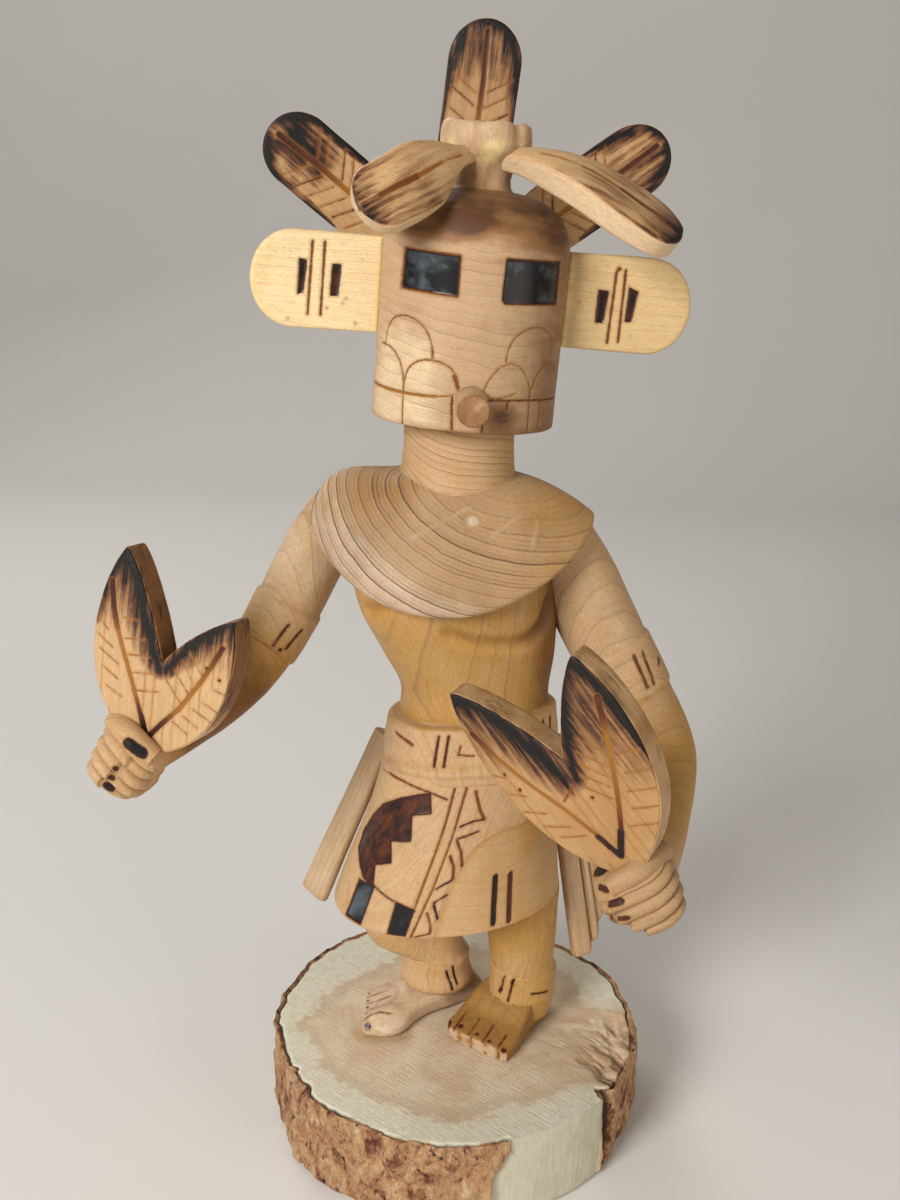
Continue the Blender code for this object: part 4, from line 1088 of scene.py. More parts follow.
def laid_on(obj, items):
    """Strokes whose stops are moved onto the surface of a piece."""
    tree = BVHTree.FromObject(obj, bpy.context.evaluated_depsgraph_get())
    out = []
    for item in items:
        stops = item["stops"]
        if len(stops) > 1:
            stops = resampled(stops, 6 * len(stops))
        nearest = [tree.find_nearest(Vector(stop) * MM)[0] / MM for stop in stops]
        out.append({**item, "stops": np.array([tuple(v) for v in nearest])})
    return out


def even_angles(power, wide, high, count):
    """Angles that place points evenly round a rounded box of the given half sizes."""
    a = np.linspace(0, 2 * math.pi, 2001)
    spots = np.stack([wide * spow(np.cos(a), power), high * spow(np.sin(a), power)], -1)
    length = np.concatenate([[0], np.cumsum(np.linalg.norm(np.diff(spots, axis=0), axis=1))])
    return np.interp(np.arange(count) / count * length[-1], length, a)


def foot(name, heel, toes, near, far, instep, thick, top_round, skew, big_toe, marks, tone0, dim,
         notches):
    """A flat foot with cut toes, resting on the log slice.

    near and far are half widths on its left and right side at shares of its length. instep
    is its height above the toes at half, and at three quarters, of its length. skew is how
    much further the toes reach on the left than on the right, big_toe how high the lump of
    the big toe stands up, and notches where the front is nicked, from its middle.
    """
    start, end = np.array([*heel, STAND]), np.array([*toes, STAND])
    length = np.linalg.norm(end - start)
    along = (end - start) / length
    side = np.array([-along[1], along[0], 0.0])
    shares = np.concatenate([
        np.linspace(0, 0.88, 42), np.linspace(0.89, 0.985, 18), (0.99, 0.995, 0.9985, 1.0)
    ])
    high = spline(shares, (0, 0.06, 0.25, 0.52, 0.75, 0.92, 1.0),
                  (5.0, 7.4, 8.4, thick + instep[0], thick + instep[1], thick + 0.4, thick))
    a = even_angles(top_round, near[-1][1], 0.5 * thick, 100)
    lobe_x, lobe_z = spow(np.cos(a), top_round), spow(np.sin(a), top_round)
    lobe_z = np.where(lobe_z < 0, -np.abs(lobe_z) ** 0.5, lobe_z)
    lump = 0.78 * near[-1][1]
    rows = []
    for share, tall in zip(shares, high):
        half = np.where(lobe_x > 0, spline(share, *zip(*near)), spline(share, *zip(*far)))
        shrink = 1.0 - 0.10 * smooth(0.985, 1.0, share)
        across = half * lobe_x * shrink
        toe = big_toe * bell(across, lump, 2.4) * window(share, 0.76, 0.985, 0.06)
        z = 0.5 * tall * (1 + lobe_z * shrink) + toe * np.clip(lobe_z, 0, 1)
        reach = length * share - 0.4 + 0.5 * skew * lobe_x * smooth(0.5, 1.0, share)
        row = np.outer(reach, along) + np.outer(across, side) + np.outer(z, (0, 0, 1))
        rows.append(start + row)
    if notches:
        cap = rows[-1]
        for share in (0.94, 0.84, 0.7, 0.5, 0.25):
            rows.append(blend(cap.mean(0), cap, share))
    obj = solid(name, np.array(rows))
    co = points_of(obj)
    edge, char, cut = burnt(co, laid_on(obj, marks))
    way, off = (co - start) @ along / length, (co - start) @ side
    toe_side = smooth(0.35, 0.8, normals_of(obj) @ along) * smooth(0.5, 0.8, way)
    slots = np.zeros(len(co))
    for spot in notches:
        slots = np.maximum(slots, bell(off, spot, 0.32) * toe_side)
    carve(obj, cut + 0.15 * slots + 0.09 * noise(co, 4.0, 2, 33))
    # the notches between the toes are darkened, also through dim: painted shade
    tone = blend(tone0, -0.5, toe_side * (1 - slots)) + 1.6 * slots + 0.25 * smooth(0.75, 0.2, way)
    put(obj, grain=grain_frame(co, (start + end) / 2 - (0, 0, 14), along), tone=tone, ringed=0.35,
        edge=edge, char=char, scorch=0.0, dim=dim * (1 - 0.8 * toe_side) + 0.4 * slots)
    return obj


def carved_figure():
    right_marks = (
        stroke(0.6, 0.9, (-3.0, 0.5, 34.2), (-1.5, 0.4, 29.2)),
        stroke(0.6, 0.95, (-1.3, 0.7, 35.2), (-0.1, 0.9, 30.2)),
        stroke(0.8, 0.8, (-3.0, 0.0, 27.8)),
        stroke(0.6, 0.85, (2.2, 11.7, 35.8), (2.1, 11.7, 30.0)),
    )
    left_marks = (
        stroke(0.5, 0.62, (11.2, -4.0, 36.4), (10.3, -3.4, 31.2)),
        stroke(0.8, 0.8, (10.5, -3.6, 32.4), (10.1, -3.2, 31.2)),
        stroke(0.75, 0.9, (13.4, -5.2, 36.2), (13.1, -5.1, 34.8)),
        stroke(0.55, 0.78, (13.1, -5.1, 34.8), (12.3, -4.7, 29.6)),
        stroke(0.55, 0.8, (18.1, -5.4, 32.4), (22.0, -3.1, 31.8)),
    )
    right_toes = [stroke(0.55, 0.8, (-22.2, y, 24.3)) for y in (4.4, 1.2, -1.6, -4.2)] + [
        stroke(1.7, 0.95, (-21.9, -9.3, 24.6)),
        stroke(0.34, 0.3, (-22.6, 2.8, 24.3), (-17.2, 4.6, 25.0)),
        stroke(0.34, 0.3, (-22.4, -0.2, 24.3), (-16.6, 2.0, 25.4)),
        stroke(0.34, 0.35, (-22.2, -2.9, 24.2), (-16.2, -0.6, 25.6)),
        stroke(0.45, 0.45, (-22.4, -6.4, 24.2), (-18.6, -5.2, 25.0), (-15.6, -5.6, 25.6)),
    ]
    left_toes = [stroke(0.48, heats, start, end, depth=0.3) for heats, start, end in (
        ((0.45, 0.7, 0.5), (2.3, -3.8, 25.2), (-1.1, -9.2, 24.2)),
        ((0.55, 0.5, 0.3), (5.7, -6.0, 25.0), (2.9, -10.8, 24.3)),
        ((0.5, 0.65, 0.45), (9.1, -8.2, 25.0), (6.1, -13.6, 24.2)),
        ((0.6, 0.7, 0.35), (12.1, -11.5, 25.0), (9.2, -16.2, 24.2)),
    )]
    left_toes.append(stroke(1.7, 0.95, (-3.2, -6.8, 24.2), (-2.9, -6.0, 24.5)))
    left_toes += [stroke(wide, 0.74, spot) for wide, spot in (
        (1.3, (1.1, -7.8, 24.3)), (1.0, (5.0, -10.7, 24.3)), (1.0, (7.9, -13.2, 24.3)),
        (1.4, (11.3, -16.0, 24.0)),
    )]
    whole = kilt()
    for part in (
        belt(), torso(), cape(), neck(),
        leg("right_leg", -5.3, 7.8, -2.1, 9.5, 5.7, 6.2, 15.2, right_marks, 0.22, 0.0),
        leg("left_leg", 16.2, 2.6, -0.9, 0.0, 7.2, 8.0, 15.0, left_marks, 0.75, 0.06),
        foot("right_foot", (5.0, 11.5), (-23.2, -0.8),
             ((0, 2.6), (0.29, 4.6), (0.66, 7.8), (0.74, 10.0), (0.84, 10.6), (0.95, 8.6),
              (1.0, 7.4)),
             ((0, 3.0), (0.3, 5.6), (0.7, 7.0), (1.0, 7.1)),
             (3.0, 1.3), 3.2, 0.6, 6.1, 1.3, right_toes, -0.75, 0.05, ()),
        # the left foot's deep tone and dim are partly its brown wood and partly painted shade
        foot("left_foot", (19.2, 11.0), (4.2, -12.6),
             ((0, 3.2), (0.1, 6.4), (0.5, 8.0), (0.8, 8.8), (1.0, 8.8)),
             ((0, 3.2), (0.1, 6.0), (0.5, 7.6), (0.8, 9.0), (0.93, 9.0), (1.0, 7.2)),
             (6.0, 1.9), 3.2, 0.42, 0.0, 0.0, left_toes, 1.3, 0.62, (-4.6, -1.1, 3.0, 6.6)),
    ):
        boolean(whole, part, "UNION")
    whole.name = "carved_doll"
    return whole


# ------------------------------------------------------------------ arms and hands


def limb_rows(path, radii, band, rings, count):
    """Rings along a smooth path, with a carved armband standing a little proud."""
    t = np.linspace(0, 1, rings)
    here = catmull(path, t)
    along = np.gradient(here, axis=0)
    along /= np.linalg.norm(along, axis=1)[:, None]
    radius = spline(t, np.linspace(0, 1, len(radii)), radii)
    start, end, extra = band
    radius = radius + extra * window(t, start, end, 0.006)
    a = circle(count)
    side = np.array([0.0, 1.0, 0.0])
    rows = []
    for point, ahead, r in zip(here, along, radius):
        side = side - ahead * (side @ ahead)
        side /= np.linalg.norm(side)
        over = np.cross(ahead, side)
        rows.append(point + r * (np.outer(np.cos(a), side) + np.outer(np.sin(a), over)))
    return np.array(rows), t


def fist(centre, tilt, facing, size, tips, palm):
    """A closed hand: four fingers wrapped round the front, ending in steps, under a thumb.

    facing is +1 where the knuckles are towards +X. size is half the width, depth and
    height. tips holds where the lowest finger ends and how much further the next ones
    reach, as shares of the width; beyond them the hand is cut back by palm.
    """
    wide, deep, high = size
    x, y = np.cos(circle(128)), -np.sin(circle(128))
    rows = []
    for h in np.linspace(-1.0, 1.0, 100):
        swell = blend(0.55, 1.0, math.sqrt(max(0.0, 1 - abs(h) ** 3.4)))
        px, py = spow(x, 0.72) * swell, spow(y, 0.72) * swell
        # fingers droop from the knuckles towards their tips
        slant = h - 0.30 * (px * facing) * smooth(0.3, -0.4, y) + 0.05 * np.sin(3.0 * px)
        band = np.clip((slant + 1.0) / 0.4, 0, 4)
        level = np.clip(np.floor(band), 0, 3)
        across = np.clip(2 * (band - level) - 1, -1, 1)
        front = smooth(0.5, -0.1, y) * smooth(0.66, 0.56, slant)
        valley = front * (1 - np.sqrt(1 - 0.97 * across**2))
        past = np.clip(-(tips[0] + tips[1] * level + px * facing), 0, None)
        past = past * (slant < 0.62) * smooth(0.2, -0.3, y)
        grow = 1 - 0.17 * valley
        qx = px * wide * grow + facing * wide * past * palm
        qy = py * deep * grow + (0.7 + 1.2 * palm) * smooth(0.02, 0.09, past)
        rows.append(np.stack([qx, qy, np.full(len(x), h * high)], -1))
    hand = solid("fist", np.array(rows))
    thumb_path = [
        (0.84 * wide * facing, 0.13 * deep, 0.85 * high),
        (0.23 * wide * facing, -0.6 * deep, 0.98 * high),
        (-0.6 * wide * facing, -0.74 * deep, 0.8 * high),
    ]
    rows, _ = limb_rows(thumb_path, (2.3, 2.6, 2.0), (2.0, 3.0, 0.0), 40, 40)
    boolean(hand, solid("thumb", rows), "UNION")
    move_points(hand, place(points_of(hand), turn("Y", tilt), centre))
    return hand


def arm(name, path, radii, band, hand, marks, pith, tones, dims):
    """An arm with its hand, cut to butt against the cape and the torso.

    band is where the armband starts and ends along the path and how proud it stands,
    tones run from shoulder to hand, and dims are the arm's and the hand's.
    """
    rows, t = limb_rows(path, radii, band, 150, 84)
    limb = solid(name, rows)
    way = spread(t[:, None], rows.shape[:2])
    edges = bell(way, band[0], 0.006) + bell(way, band[1], 0.006)
    carve(limb, 0.16 * noise(points_of(limb), 7.0, 2, 41) + 0.14 * edges)
    boolean(limb, fist(path[-1], *hand), "UNION")
    for cutter in (cape(), torso()):
        move_points(cutter, points_of(cutter) + 0.1 * normals_of(cutter))
        boolean(limb, cutter, "DIFFERENCE")
    co = points_of(limb)
    edge, heat, cut = burnt(co, laid_on(limb, marks))
    carve(limb, cut)
    way = nearest_way(co, rows, t)
    closed = smooth(0.93, 0.97, way)
    tone = np.interp(way, np.linspace(0, 1, len(tones)), tones)
    # painted shade: darker on surfaces that face down, and in the grooves at the armband's edges
    under = smooth(0.2, -0.8, normals_of(limb)[:, 2])
    edges = bell(way, band[0], 0.008) + bell(way, band[1], 0.008)
    tone = tone + (0.45 * edges + 0.35 * under) * (1 - closed)
    put(limb, grain=grain_frame(co, *pith), tone=tone, ringed=blend(0.36, 0.3, closed),
        edge=edge, char=heat, scorch=0.0, dim=blend(*dims, closed))
    limb.name = name
    return limb


def nearest_way(co, rows, t):
    """How far along the limb, 0 to 1, each point lies."""
    centres = rows.mean(1)
    best = np.full(len(co), np.inf)
    way = np.zeros(len(co))
    for centre, share in zip(centres[::2], t[::2]):
        away = ((co - centre) ** 2).sum(1)
        closer = away < best
        best[closer], way[closer] = away[closer], share
    return way


def right_arm():
    path = [(-29.0, 1.0, 150.5), (-35.4, 2.0, 140.6), (-41.4, 0.5, 128.3), (-47.6, -3.0, 117.3),
            (-54.0, -12.0, 111.6), (-61.0, -26.0, 109.0), (-68.4, -38.0, 106.2)]
    marks = (
        stroke(0.7, 0.72, (-40.4, -7.6, 125.7), (-43.8, -8.9, 121.0)),
        stroke(0.7, 0.72, (-37.8, -5.9, 123.9), (-41.1, -7.7, 119.9)),
        stroke(1.0, 0.9, (-42.3, -8.4, 119.9)),
        stroke(2.9, 0.93, (-66.4, -45.2, 112.4), (-64.2, -45.2, 110.8)),
        stroke(1.5, 0.75, (-69.3, -45.0, 107.1)), stroke(1.4, 0.75, (-70.3, -44.9, 104.9)),
        stroke(1.7, 0.85, (-71.4, -44.5, 102.8), (-70.6, -44.5, 102.2)),
    )
    return arm("right_arm_carved", path, (7.0, 7.5, 7.4, 7.1, 6.8, 6.1, 5.4), (0.33, 0.48, 0.6),
               (27, -1, (7.2, 7.2, 6.9), (-0.45, 0.14), 0.1), marks,
               ((-30.0, 15.0, 130.0), (-0.42, 0.40, -0.82)),
               (0.2, -0.5, -0.2, 1.1, 2.2, 2.2, 0.1), (0.2, 0.0))


def left_arm():
    path = [(16.5, 1.0, 146.5), (23.2, 1.5, 135.5), (30.2, 1.0, 122.5), (37.6, -0.5, 109.5),
            (44.6, -3.5, 96.0), (42.0, -20.0, 87.0), (34.6, -45.0, 84.6)]
    marks = (
        stroke(0.85, 0.6, (35.7, -7.6, 121.2), (39.2, -8.5, 114.1)),
        stroke(0.75, 0.6, (37.8, -6.3, 121.7), (40.7, -7.6, 114.8)),
        stroke(0.7, 0.7, (42.6, -3.4, 119.8), (42.0, -4.4, 118.4)),
        stroke(2.5, 0.97, (25.9, -44.6, 88.4), (26.6, -46.2, 89.5)),
        stroke(1.3, 0.78, (26.1, -49.2, 87.5), (27.3, -50.6, 87.7)),
        stroke(1.4, 0.8, (27.8, -51.4, 85.0), (30.0, -52.2, 86.2)),
        stroke(1.1, 0.7, (29.9, -51.6, 82.0), (31.6, -52.2, 82.8)),
    )
    return arm("left_arm_carved", path, (8.6, 9.0, 8.9, 8.6, 7.7, 6.6, 6.2), (0.36, 0.5, 0.6),
               (-22, 1, (8.6, 7.8, 7.5), (0.12, 0.27), 0.8), marks,
               ((21.0, 16.0, 131.0), (0.42, 0.42, -0.80)),
               (0.3, -0.25, -0.2, 0.3, 1.1, 1.2, 0.2), (0.1, 0.36))


# ------------------------------------------------------------------ flat feathers and ears


def triangulated(outlines, extra):
    """A triangulation of the area within closed outlines, through extra points."""
    points, loops = [], []
    for closed in outlines:
        loops.append(list(range(len(points), len(points) + len(closed))))
        points += [Vector(p) for p in closed]
    points += [Vector(p) for p in extra]
    found = delaunay_2d_cdt(points, [], loops, 1, 1e-6)
    spots = np.array([tuple(p) for p in found[0]])
    faces = np.array([f for f in found[2] if len(f) == 3])
    used = np.unique(faces)
    renumber = np.full(len(spots), -1)
    renumber[used] = np.arange(len(used))
    return spots[used], renumber[faces]


def rim_of(faces):
    """The directed edges that belong to one face only."""
    pairs = np.concatenate([faces[:, (0, 1)], faces[:, (1, 2)], faces[:, (2, 0)]])
    seen = dict.fromkeys(map(tuple, pairs.tolist()))
    return np.array([(a, b) for a, b in seen if (b, a) not in seen])


def evenly(corners, step):
    """A closed outline's points about step apart, its own corners kept."""
    out = []
    for a, b in zip(corners, np.roll(corners, -1, axis=0)):
        parts = max(1, round(float(np.linalg.norm(b - a)) / step))
        if np.linalg.norm(b - a) > 0.45 * step or not out:
            out += [a + (b - a) * k / parts for k in range(parts)]
    return np.array(out)


def plate(name, outlines, thick, step, round_edge=0.5):
    """A flat piece in X and Z with rounded edges, from Y = 0 in front to Y = thick.

    Returns it with each point's distance in from the edge, and which points are on the
    front face and which on the wall round it.
    """
    outlines = [evenly(np.asarray(points, float), 0.8 * step) for points in outlines]
    spots, faces = triangulated(outlines, [])
    rim = rim_of(faces)
    a, b = spots[rim[:, 0]], spots[rim[:, 1]]

    def to_rim(points):
        best = np.full(len(points), np.inf)
        for p, q in zip(a, b):
            along = q - p
            t = np.clip((points - p) @ along / max(along @ along, 1e-9), 0, 1)
            best = np.minimum(best, ((points - p - t[:, None] * along) ** 2).sum(1))
        return np.sqrt(best)

    low, high = spots.min(0), spots.max(0)
    hexes = np.array([
        (x, z) for k, z in enumerate(np.arange(low[1], high[1], step * 0.87))
        for x in np.arange(low[0] + (k % 2) * step / 2, high[0], step)
    ])
    middle = 0.5 * (a + b)
    out = np.stack([(b - a)[:, 1], -(b - a)[:, 0]], -1)
    out /= np.linalg.norm(out, axis=1)[:, None] + 1e-9
    extra = [hexes[to_rim(hexes) > 0.62 + 0.6 * step]]
    for depth in (0.13, 0.34, 0.62):
        for sign in (1, -1):
            ring = middle + sign * out * depth
            extra.append(ring[to_rim(ring) > 0.93 * depth])
    spots, faces = triangulated(outlines, np.vstack(extra))
    rim = rim_of(faces)
    a, b = spots[rim[:, 0]], spots[rim[:, 1]]  # to_rim now measures to the final rim
    away = to_rim(spots)
    away[rim.ravel()] = 0.0
    u = np.clip(away / round_edge, 0, 1)
    sink = round_edge * (1 - np.sqrt(np.clip(1 - (1 - u) ** 2, 0, 1)))
    count = len(spots)
    verts = [np.stack([spots[:, 0], y, spots[:, 1]], -1) for y in (sink, thick - sink)]
    near, far = round_edge, thick - round_edge
    levels = np.linspace(near, far, max(3, int((thick - 2 * round_edge) / 0.5)))[1:-1]
    levels = np.concatenate([[near + 0.12], levels, [far - 0.12]])
    loop = np.unique(rim)
    order = {v: k for k, v in enumerate(loop.tolist())}
    for level in levels:
        verts.append(np.stack([spots[loop, 0], np.full(len(loop), level), spots[loop, 1]], -1))

    def at(v, k):
        if k == 0:
            return v
        return count + v if k == len(levels) + 1 else 2 * count + (k - 1) * len(loop) + order[v]

    walls = [(at(q, k), at(p, k), at(p, k + 1), at(q, k + 1))
             for p, q in rim.tolist() for k in range(len(levels) + 1)]
    backs = [tuple(reversed([count + i for i in f])) for f in faces.tolist()]
    obj = made(name, np.vstack(verts), faces.tolist() + backs + walls)
    index = np.arange(len(obj.data.vertices))
    depth = np.zeros(len(index))
    depth[:count] = depth[count:2 * count] = away
    return obj, depth, index < count, index >= 2 * count


def leaf_half(t, width, tip=0.74):
    """Half the width of a leaf-shaped plume at shares of its length."""
    rise = np.sin(0.5 * math.pi * np.minimum(1.0, t / 0.42)) ** 0.62
    fall = np.maximum(0.0, np.cos(0.5 * math.pi * (t - 0.42) / 0.58)) ** tip
    return 0.5 * width * rise * np.where(t < 0.42, 1.0, fall)


def plume_half(t, width, swell=(0.0, 0.42)):
    """Half the width of a round-ended plume, which widens over the swell."""
    half = blend(0.135 * width, 0.5 * width, smooth(*swell, t))
    u = np.clip((t - 0.83) / 0.17, 0, 1)
    return half * np.sqrt(np.clip(1 - u * u, 0, 1))


def outline(length, half_width, steps=60, bow=0.0):
    """A closed outline round a middle line that may bow sideways."""
    t = 0.5 - 0.5 * np.cos(np.pi * np.arange(1, steps) / steps)
    half, middle, height = half_width(t), bow * 4 * t * (1 - t), length * t
    right = np.stack([middle + half, height], -1)
    left = np.stack([middle - half, height], -1)[::-1]
    return np.vstack([[(0.0, 0.0)], right, [(0.0, length)], left])


def turned_2d(points, degrees):
    a = math.radians(degrees)
    x, z = points[:, 0], points[:, 1]
    return np.stack([x * math.cos(a) + z * math.sin(a), -x * math.sin(a) + z * math.cos(a)], -1)


def hand_feathers(name, apex, heading, lean, lobes, grain_angle, strokes, trails, specks,
                  walls, tone, glows):
    """Two plumes in one thick flat piece, joined at the foot, with a notch between them.

    lobes are (angle, length, width, bow), and walls gives the edges' scorch and tone.
    """
    outlines = []
    for angle, length, width, bow in lobes:
        points = outline(length, lambda t: leaf_half(t, width), bow=bow) - (0, 0.12 * length)
        outlines.append(turned_2d(points, angle))
    obj, depth, front, wall = plate(name, outlines, 6.8, 0.4, 0.45)
    co = points_of(obj)
    flat = co[:, (0, 2)]
    a = math.radians(grain_angle)
    along = np.array([math.sin(a), math.cos(a)])
    over = np.array([math.cos(a), -math.sin(a)])
    scratches = []
    generator = np.random.default_rng(5)
    for shift in np.arange(-34, 34, 2.5):
        origin = over * (shift + generator.uniform(-0.5, 0.5))
        start, end = sorted(generator.uniform(-22, 30, 2))
        ends = (origin + along * reach for reach in (start, max(end, start + 14)))
        scratches.append(stroke(0.0, 0.12, *ends, depth=0.08))
    specks = [stroke(0.7, 0.7, spot, depth=0.3) for spot in specks]
    edge, char, cut = burnt(flat, strokes + specks)
    scratch, _, fine_cut = burnt(flat, scratches)
    crown = 0.2 * smooth(4.5, 0.0, depth) * np.where(front, 1, 0.4) * ~wall
    carve(obj, np.maximum(cut, fine_cut) * front + crown + 0.05 * noise(co, 5.0, 2, 51))
    wall_scorch, wall_tone = walls(flat)
    wall_scorch = wall_scorch * (1 + 1.1 * noise(co * (1, 0.6, 1), 3.4, 2, 54))
    face_scorch = scorched(flat, *trails, glows=glows) * np.where(front, 1.0, 0.6)
    scored = np.where(front, 0.9 * (1 - smooth(0.05, 0.32, scratch)), 0)
    tone = np.where(wall, wall_tone + 0.7 * noise(co, 4.0, 2, 53), tone + scored)
    grain = np.stack([flat @ over + 16.0, co[:, 1] + 26.0, flat @ along], -1)
    put(obj, grain=grain, tone=tone + 0.35 * noise(co, 12.0, 2, 52), ringed=0.35,
        edge=np.where(front, edge, FAR), char=char,
        scorch=np.where(wall, wall_scorch, face_scorch))
    steps = (0, -0.4, 0), turn("X", -lean), turn("Z", -heading), apex
    move_points(obj, place(points_of(obj), *steps))
    return obj


def right_hand_feathers():
    strokes = [
        stroke(0.95, (0.95, 0.85, 0.3, 0.25, 0.25, 0.3, 0.45, 0.8), (0.0, -0.4), (-1.6, 4.8),
               (-3.6, 11.0), (-5.4, 16.2), (-6.8, 20.6), (-7.8, 25.0), (-8.2, 30.0)),
        stroke(1.15, (0.4, 0.78, 0.8), (-6.8, 20.6), (-7.8, 25.0), (-8.2, 29.6)),
        stroke(1.2, (0.95, 0.8), (0.0, -0.4), (-1.2, 3.6)),
        stroke(1.0, (0.8, 0.75, 0.3, 0.25, 0.3, 0.5, 0.75), (0.4, -0.3), (3.2, 2.8), (7.1, 6.5),
               (11.6, 12.4), (14.0, 16.2), (16.1, 19.8)),
    ]
    barbs = (
        ((-11.6, 22.7), (-8.9, 20.2)), ((-11.5, 19.3), (-7.8, 16.7)), ((-10.8, 16.3), (-6.5, 13.5)),
        ((-10.2, 12.8), (-6.7, 10.6)), ((-9.3, 8.9), (-5.8, 7.1)),
        ((-5.5, 23.0), (-2.1, 22.9)), ((-5.2, 18.9), (-0.5, 19.2)), ((-4.2, 15.8), (0.4, 15.9)),
        ((-3.1, 12.4), (1.9, 12.6)), ((-2.4, 8.8), (2.5, 9.2)),
        ((9.1, 18.1), (11.6, 14.2)), ((7.6, 16.4), (10.1, 11.8)), ((5.8, 14.2), (9.0, 9.9)),
        ((3.6, 12.6), (7.5, 7.5)),
        ((14.2, 11.5), (18.0, 10.1)), ((12.1, 8.6), (16.7, 6.1)), ((9.9, 7.0), (15.0, 4.2)),
        ((8.0, 5.2), (11.1, 3.2)), ((5.8, 3.8), (8.9, 1.6)),
    )
    trails = (
        [(-12.0, 22.0, 0.6), (-11.5, 27.0, 1.6), (-9.0, 32.0, 3.2), (-5.2, 36.6, 4.6),
         (-2.6, 31.5, 3.3), (-1.0, 24.0, 2.5), (1.2, 17.5, 1.9), (2.6, 13.4, 0.9)],
        [(4.0, 13.8, 0.9), (8.0, 18.0, 1.7), (12.5, 22.0, 2.2), (18.2, 25.6, 2.6),
         (19.5, 20.0, 1.5), (19.8, 14.0, 1.2), (18.6, 8.5, 0.9)],
    )

    def walls(flat):
        """Red-brown edges on the right, and plain ones on the left."""
        burnt_side = smooth(-14, -2, flat[:, 0]) * smooth(0, 9, flat[:, 1])
        return 0.06 + 0.28 * burnt_side, blend(-0.3, 2.4, burnt_side)

    return hand_feathers("right_hand_plumes", (-63.9, -41.0, 112.8), 18, 6,
                         ((-8, 42.5, 15.5, -2.6), (36, 35.0, 15.5, 1.0)), 4,
                         strokes + lines(0.3, 0.3, *barbs, depth=0.22), trails,
                         ((12.8, 15.5), (15.6, 13.4)), walls, 0.05,
                         [(-6.5, 31.0, 15.0, 0.5), (15.0, 22.0, 11.0, 0.42)])


def left_hand_feathers():
    strokes = [
        stroke(1.2, (0.95, 0.85), (-0.6, -0.1), (-5.0, 2.6)),
        stroke(0.9, (0.9, 0.35, 0.25, 0.25, 0.25, 0.35, 0.7), (-0.6, -0.1), (-5.7, 3.1),
               (-11.9, 6.4), (-19.3, 9.8), (-24.6, 12.6), (-28.2, 14.7), (-33.0, 18.0)),
        stroke(1.2, (0.4, 0.72), (-28.2, 14.7), (-33.0, 18.0)),
        stroke(1.4, (0.95, 0.85), (0.0, -0.3), (-0.3, 5.0)),
        stroke(1.0, (0.9, 0.5, 0.35, 0.22, 0.25, 0.6), (-0.1, 3.0), (-0.3, 5.9), (-1.3, 12.4),
               (-3.0, 20.0), (-4.3, 25.2), (-6.5, 32.2)),
        stroke(1.25, (0.3, 0.68, 0.72), (-4.3, 25.2), (-5.7, 29.8), (-6.5, 32.2)),
        stroke(0.4, 0.45, (-10.7, 12.2), (-12.4, 8.3)),
    ]
    barbs = (
        ((-28.4, 9.8), (-24.8, 10.1)), ((-24.3, 6.6), (-20.3, 7.3)), ((-20.9, 3.5), (-16.1, 4.5)),
        ((-16.5, 1.4), (-10.7, 3.1)), ((-12.8, 0.0), (-7.5, 2.0)),
        ((-10.5, 22.8), (-4.2, 20.9)), ((-10.3, 19.9), (-3.7, 18.2)), ((-9.8, 17.5), (-3.6, 16.0)),
        ((-9.1, 15.1), (-3.1, 14.0)), ((-8.2, 12.7), (-2.4, 11.6)),
        ((-1.3, 21.7), (2.3, 23.4)), ((-0.1, 17.8), (4.9, 19.8)), ((0.5, 14.0), (6.3, 16.3)),
        ((1.7, 10.6), (6.9, 12.6)), ((1.5, 6.8), (7.3, 8.9)),
    )
    trails = (
        [(-36.5, 17.5, 0.8), (-37.6, 22.0, 1.6), (-36.6, 25.2, 2.6), (-31.0, 24.4, 3.4),
         (-24.5, 21.2, 3.3), (-18.0, 17.0, 2.9), (-12.4, 13.2, 1.9)],
        [(-10.0, 14.0, 1.2), (-11.6, 19.0, 1.7), (-13.4, 26.0, 1.9), (-14.2, 33.0, 2.6),
         (-13.0, 38.5, 3.0), (-7.5, 35.5, 1.9), (-1.5, 30.0, 1.6), (3.5, 24.5, 1.4),
         (8.3, 18.6, 1.0)],
    )

    def walls(flat):
        """All its edges are toasted, most at the tips."""
        return 0.08 + 0.10 * smooth(14, 34, flat[:, 1]), 0.25 + 0.3 * np.sin(flat[:, 0] * 0.9)

    return hand_feathers("left_hand_plumes", (29.9, -49.0, 94.8), 28, -4,
                         ((-56, 52.5, 17.0, -1.2), (-17, 47.0, 19.0, 1.5)), -43,
                         strokes + lines(0.34, 0.28, *barbs, depth=0.24), trails,
                         ((-25.5, 10.8), (-6.5, 10.8), (-22.0, 8.3)), walls, 0.7,
                         [(-30.0, 22.0, 17.0, 0.5), (-5.5, 31.0, 19.0, 0.62),
                          (-1.0, 24.0, 14.0, 0.35)])


HEAD_RADIUS, HEAD_HEIGHT, DOME_START = 19.4, 47.0, 34.5


def on_head(obj, *steps):
    """Moves a piece by its own steps, and then to its place in the tilted head's frame."""
    steps = (*steps, turn("Z", 4.0), turn("Y", 2.7), (-4.1, 0.0, 171.0))
    move_points(obj, place(points_of(obj), *steps))
    return obj


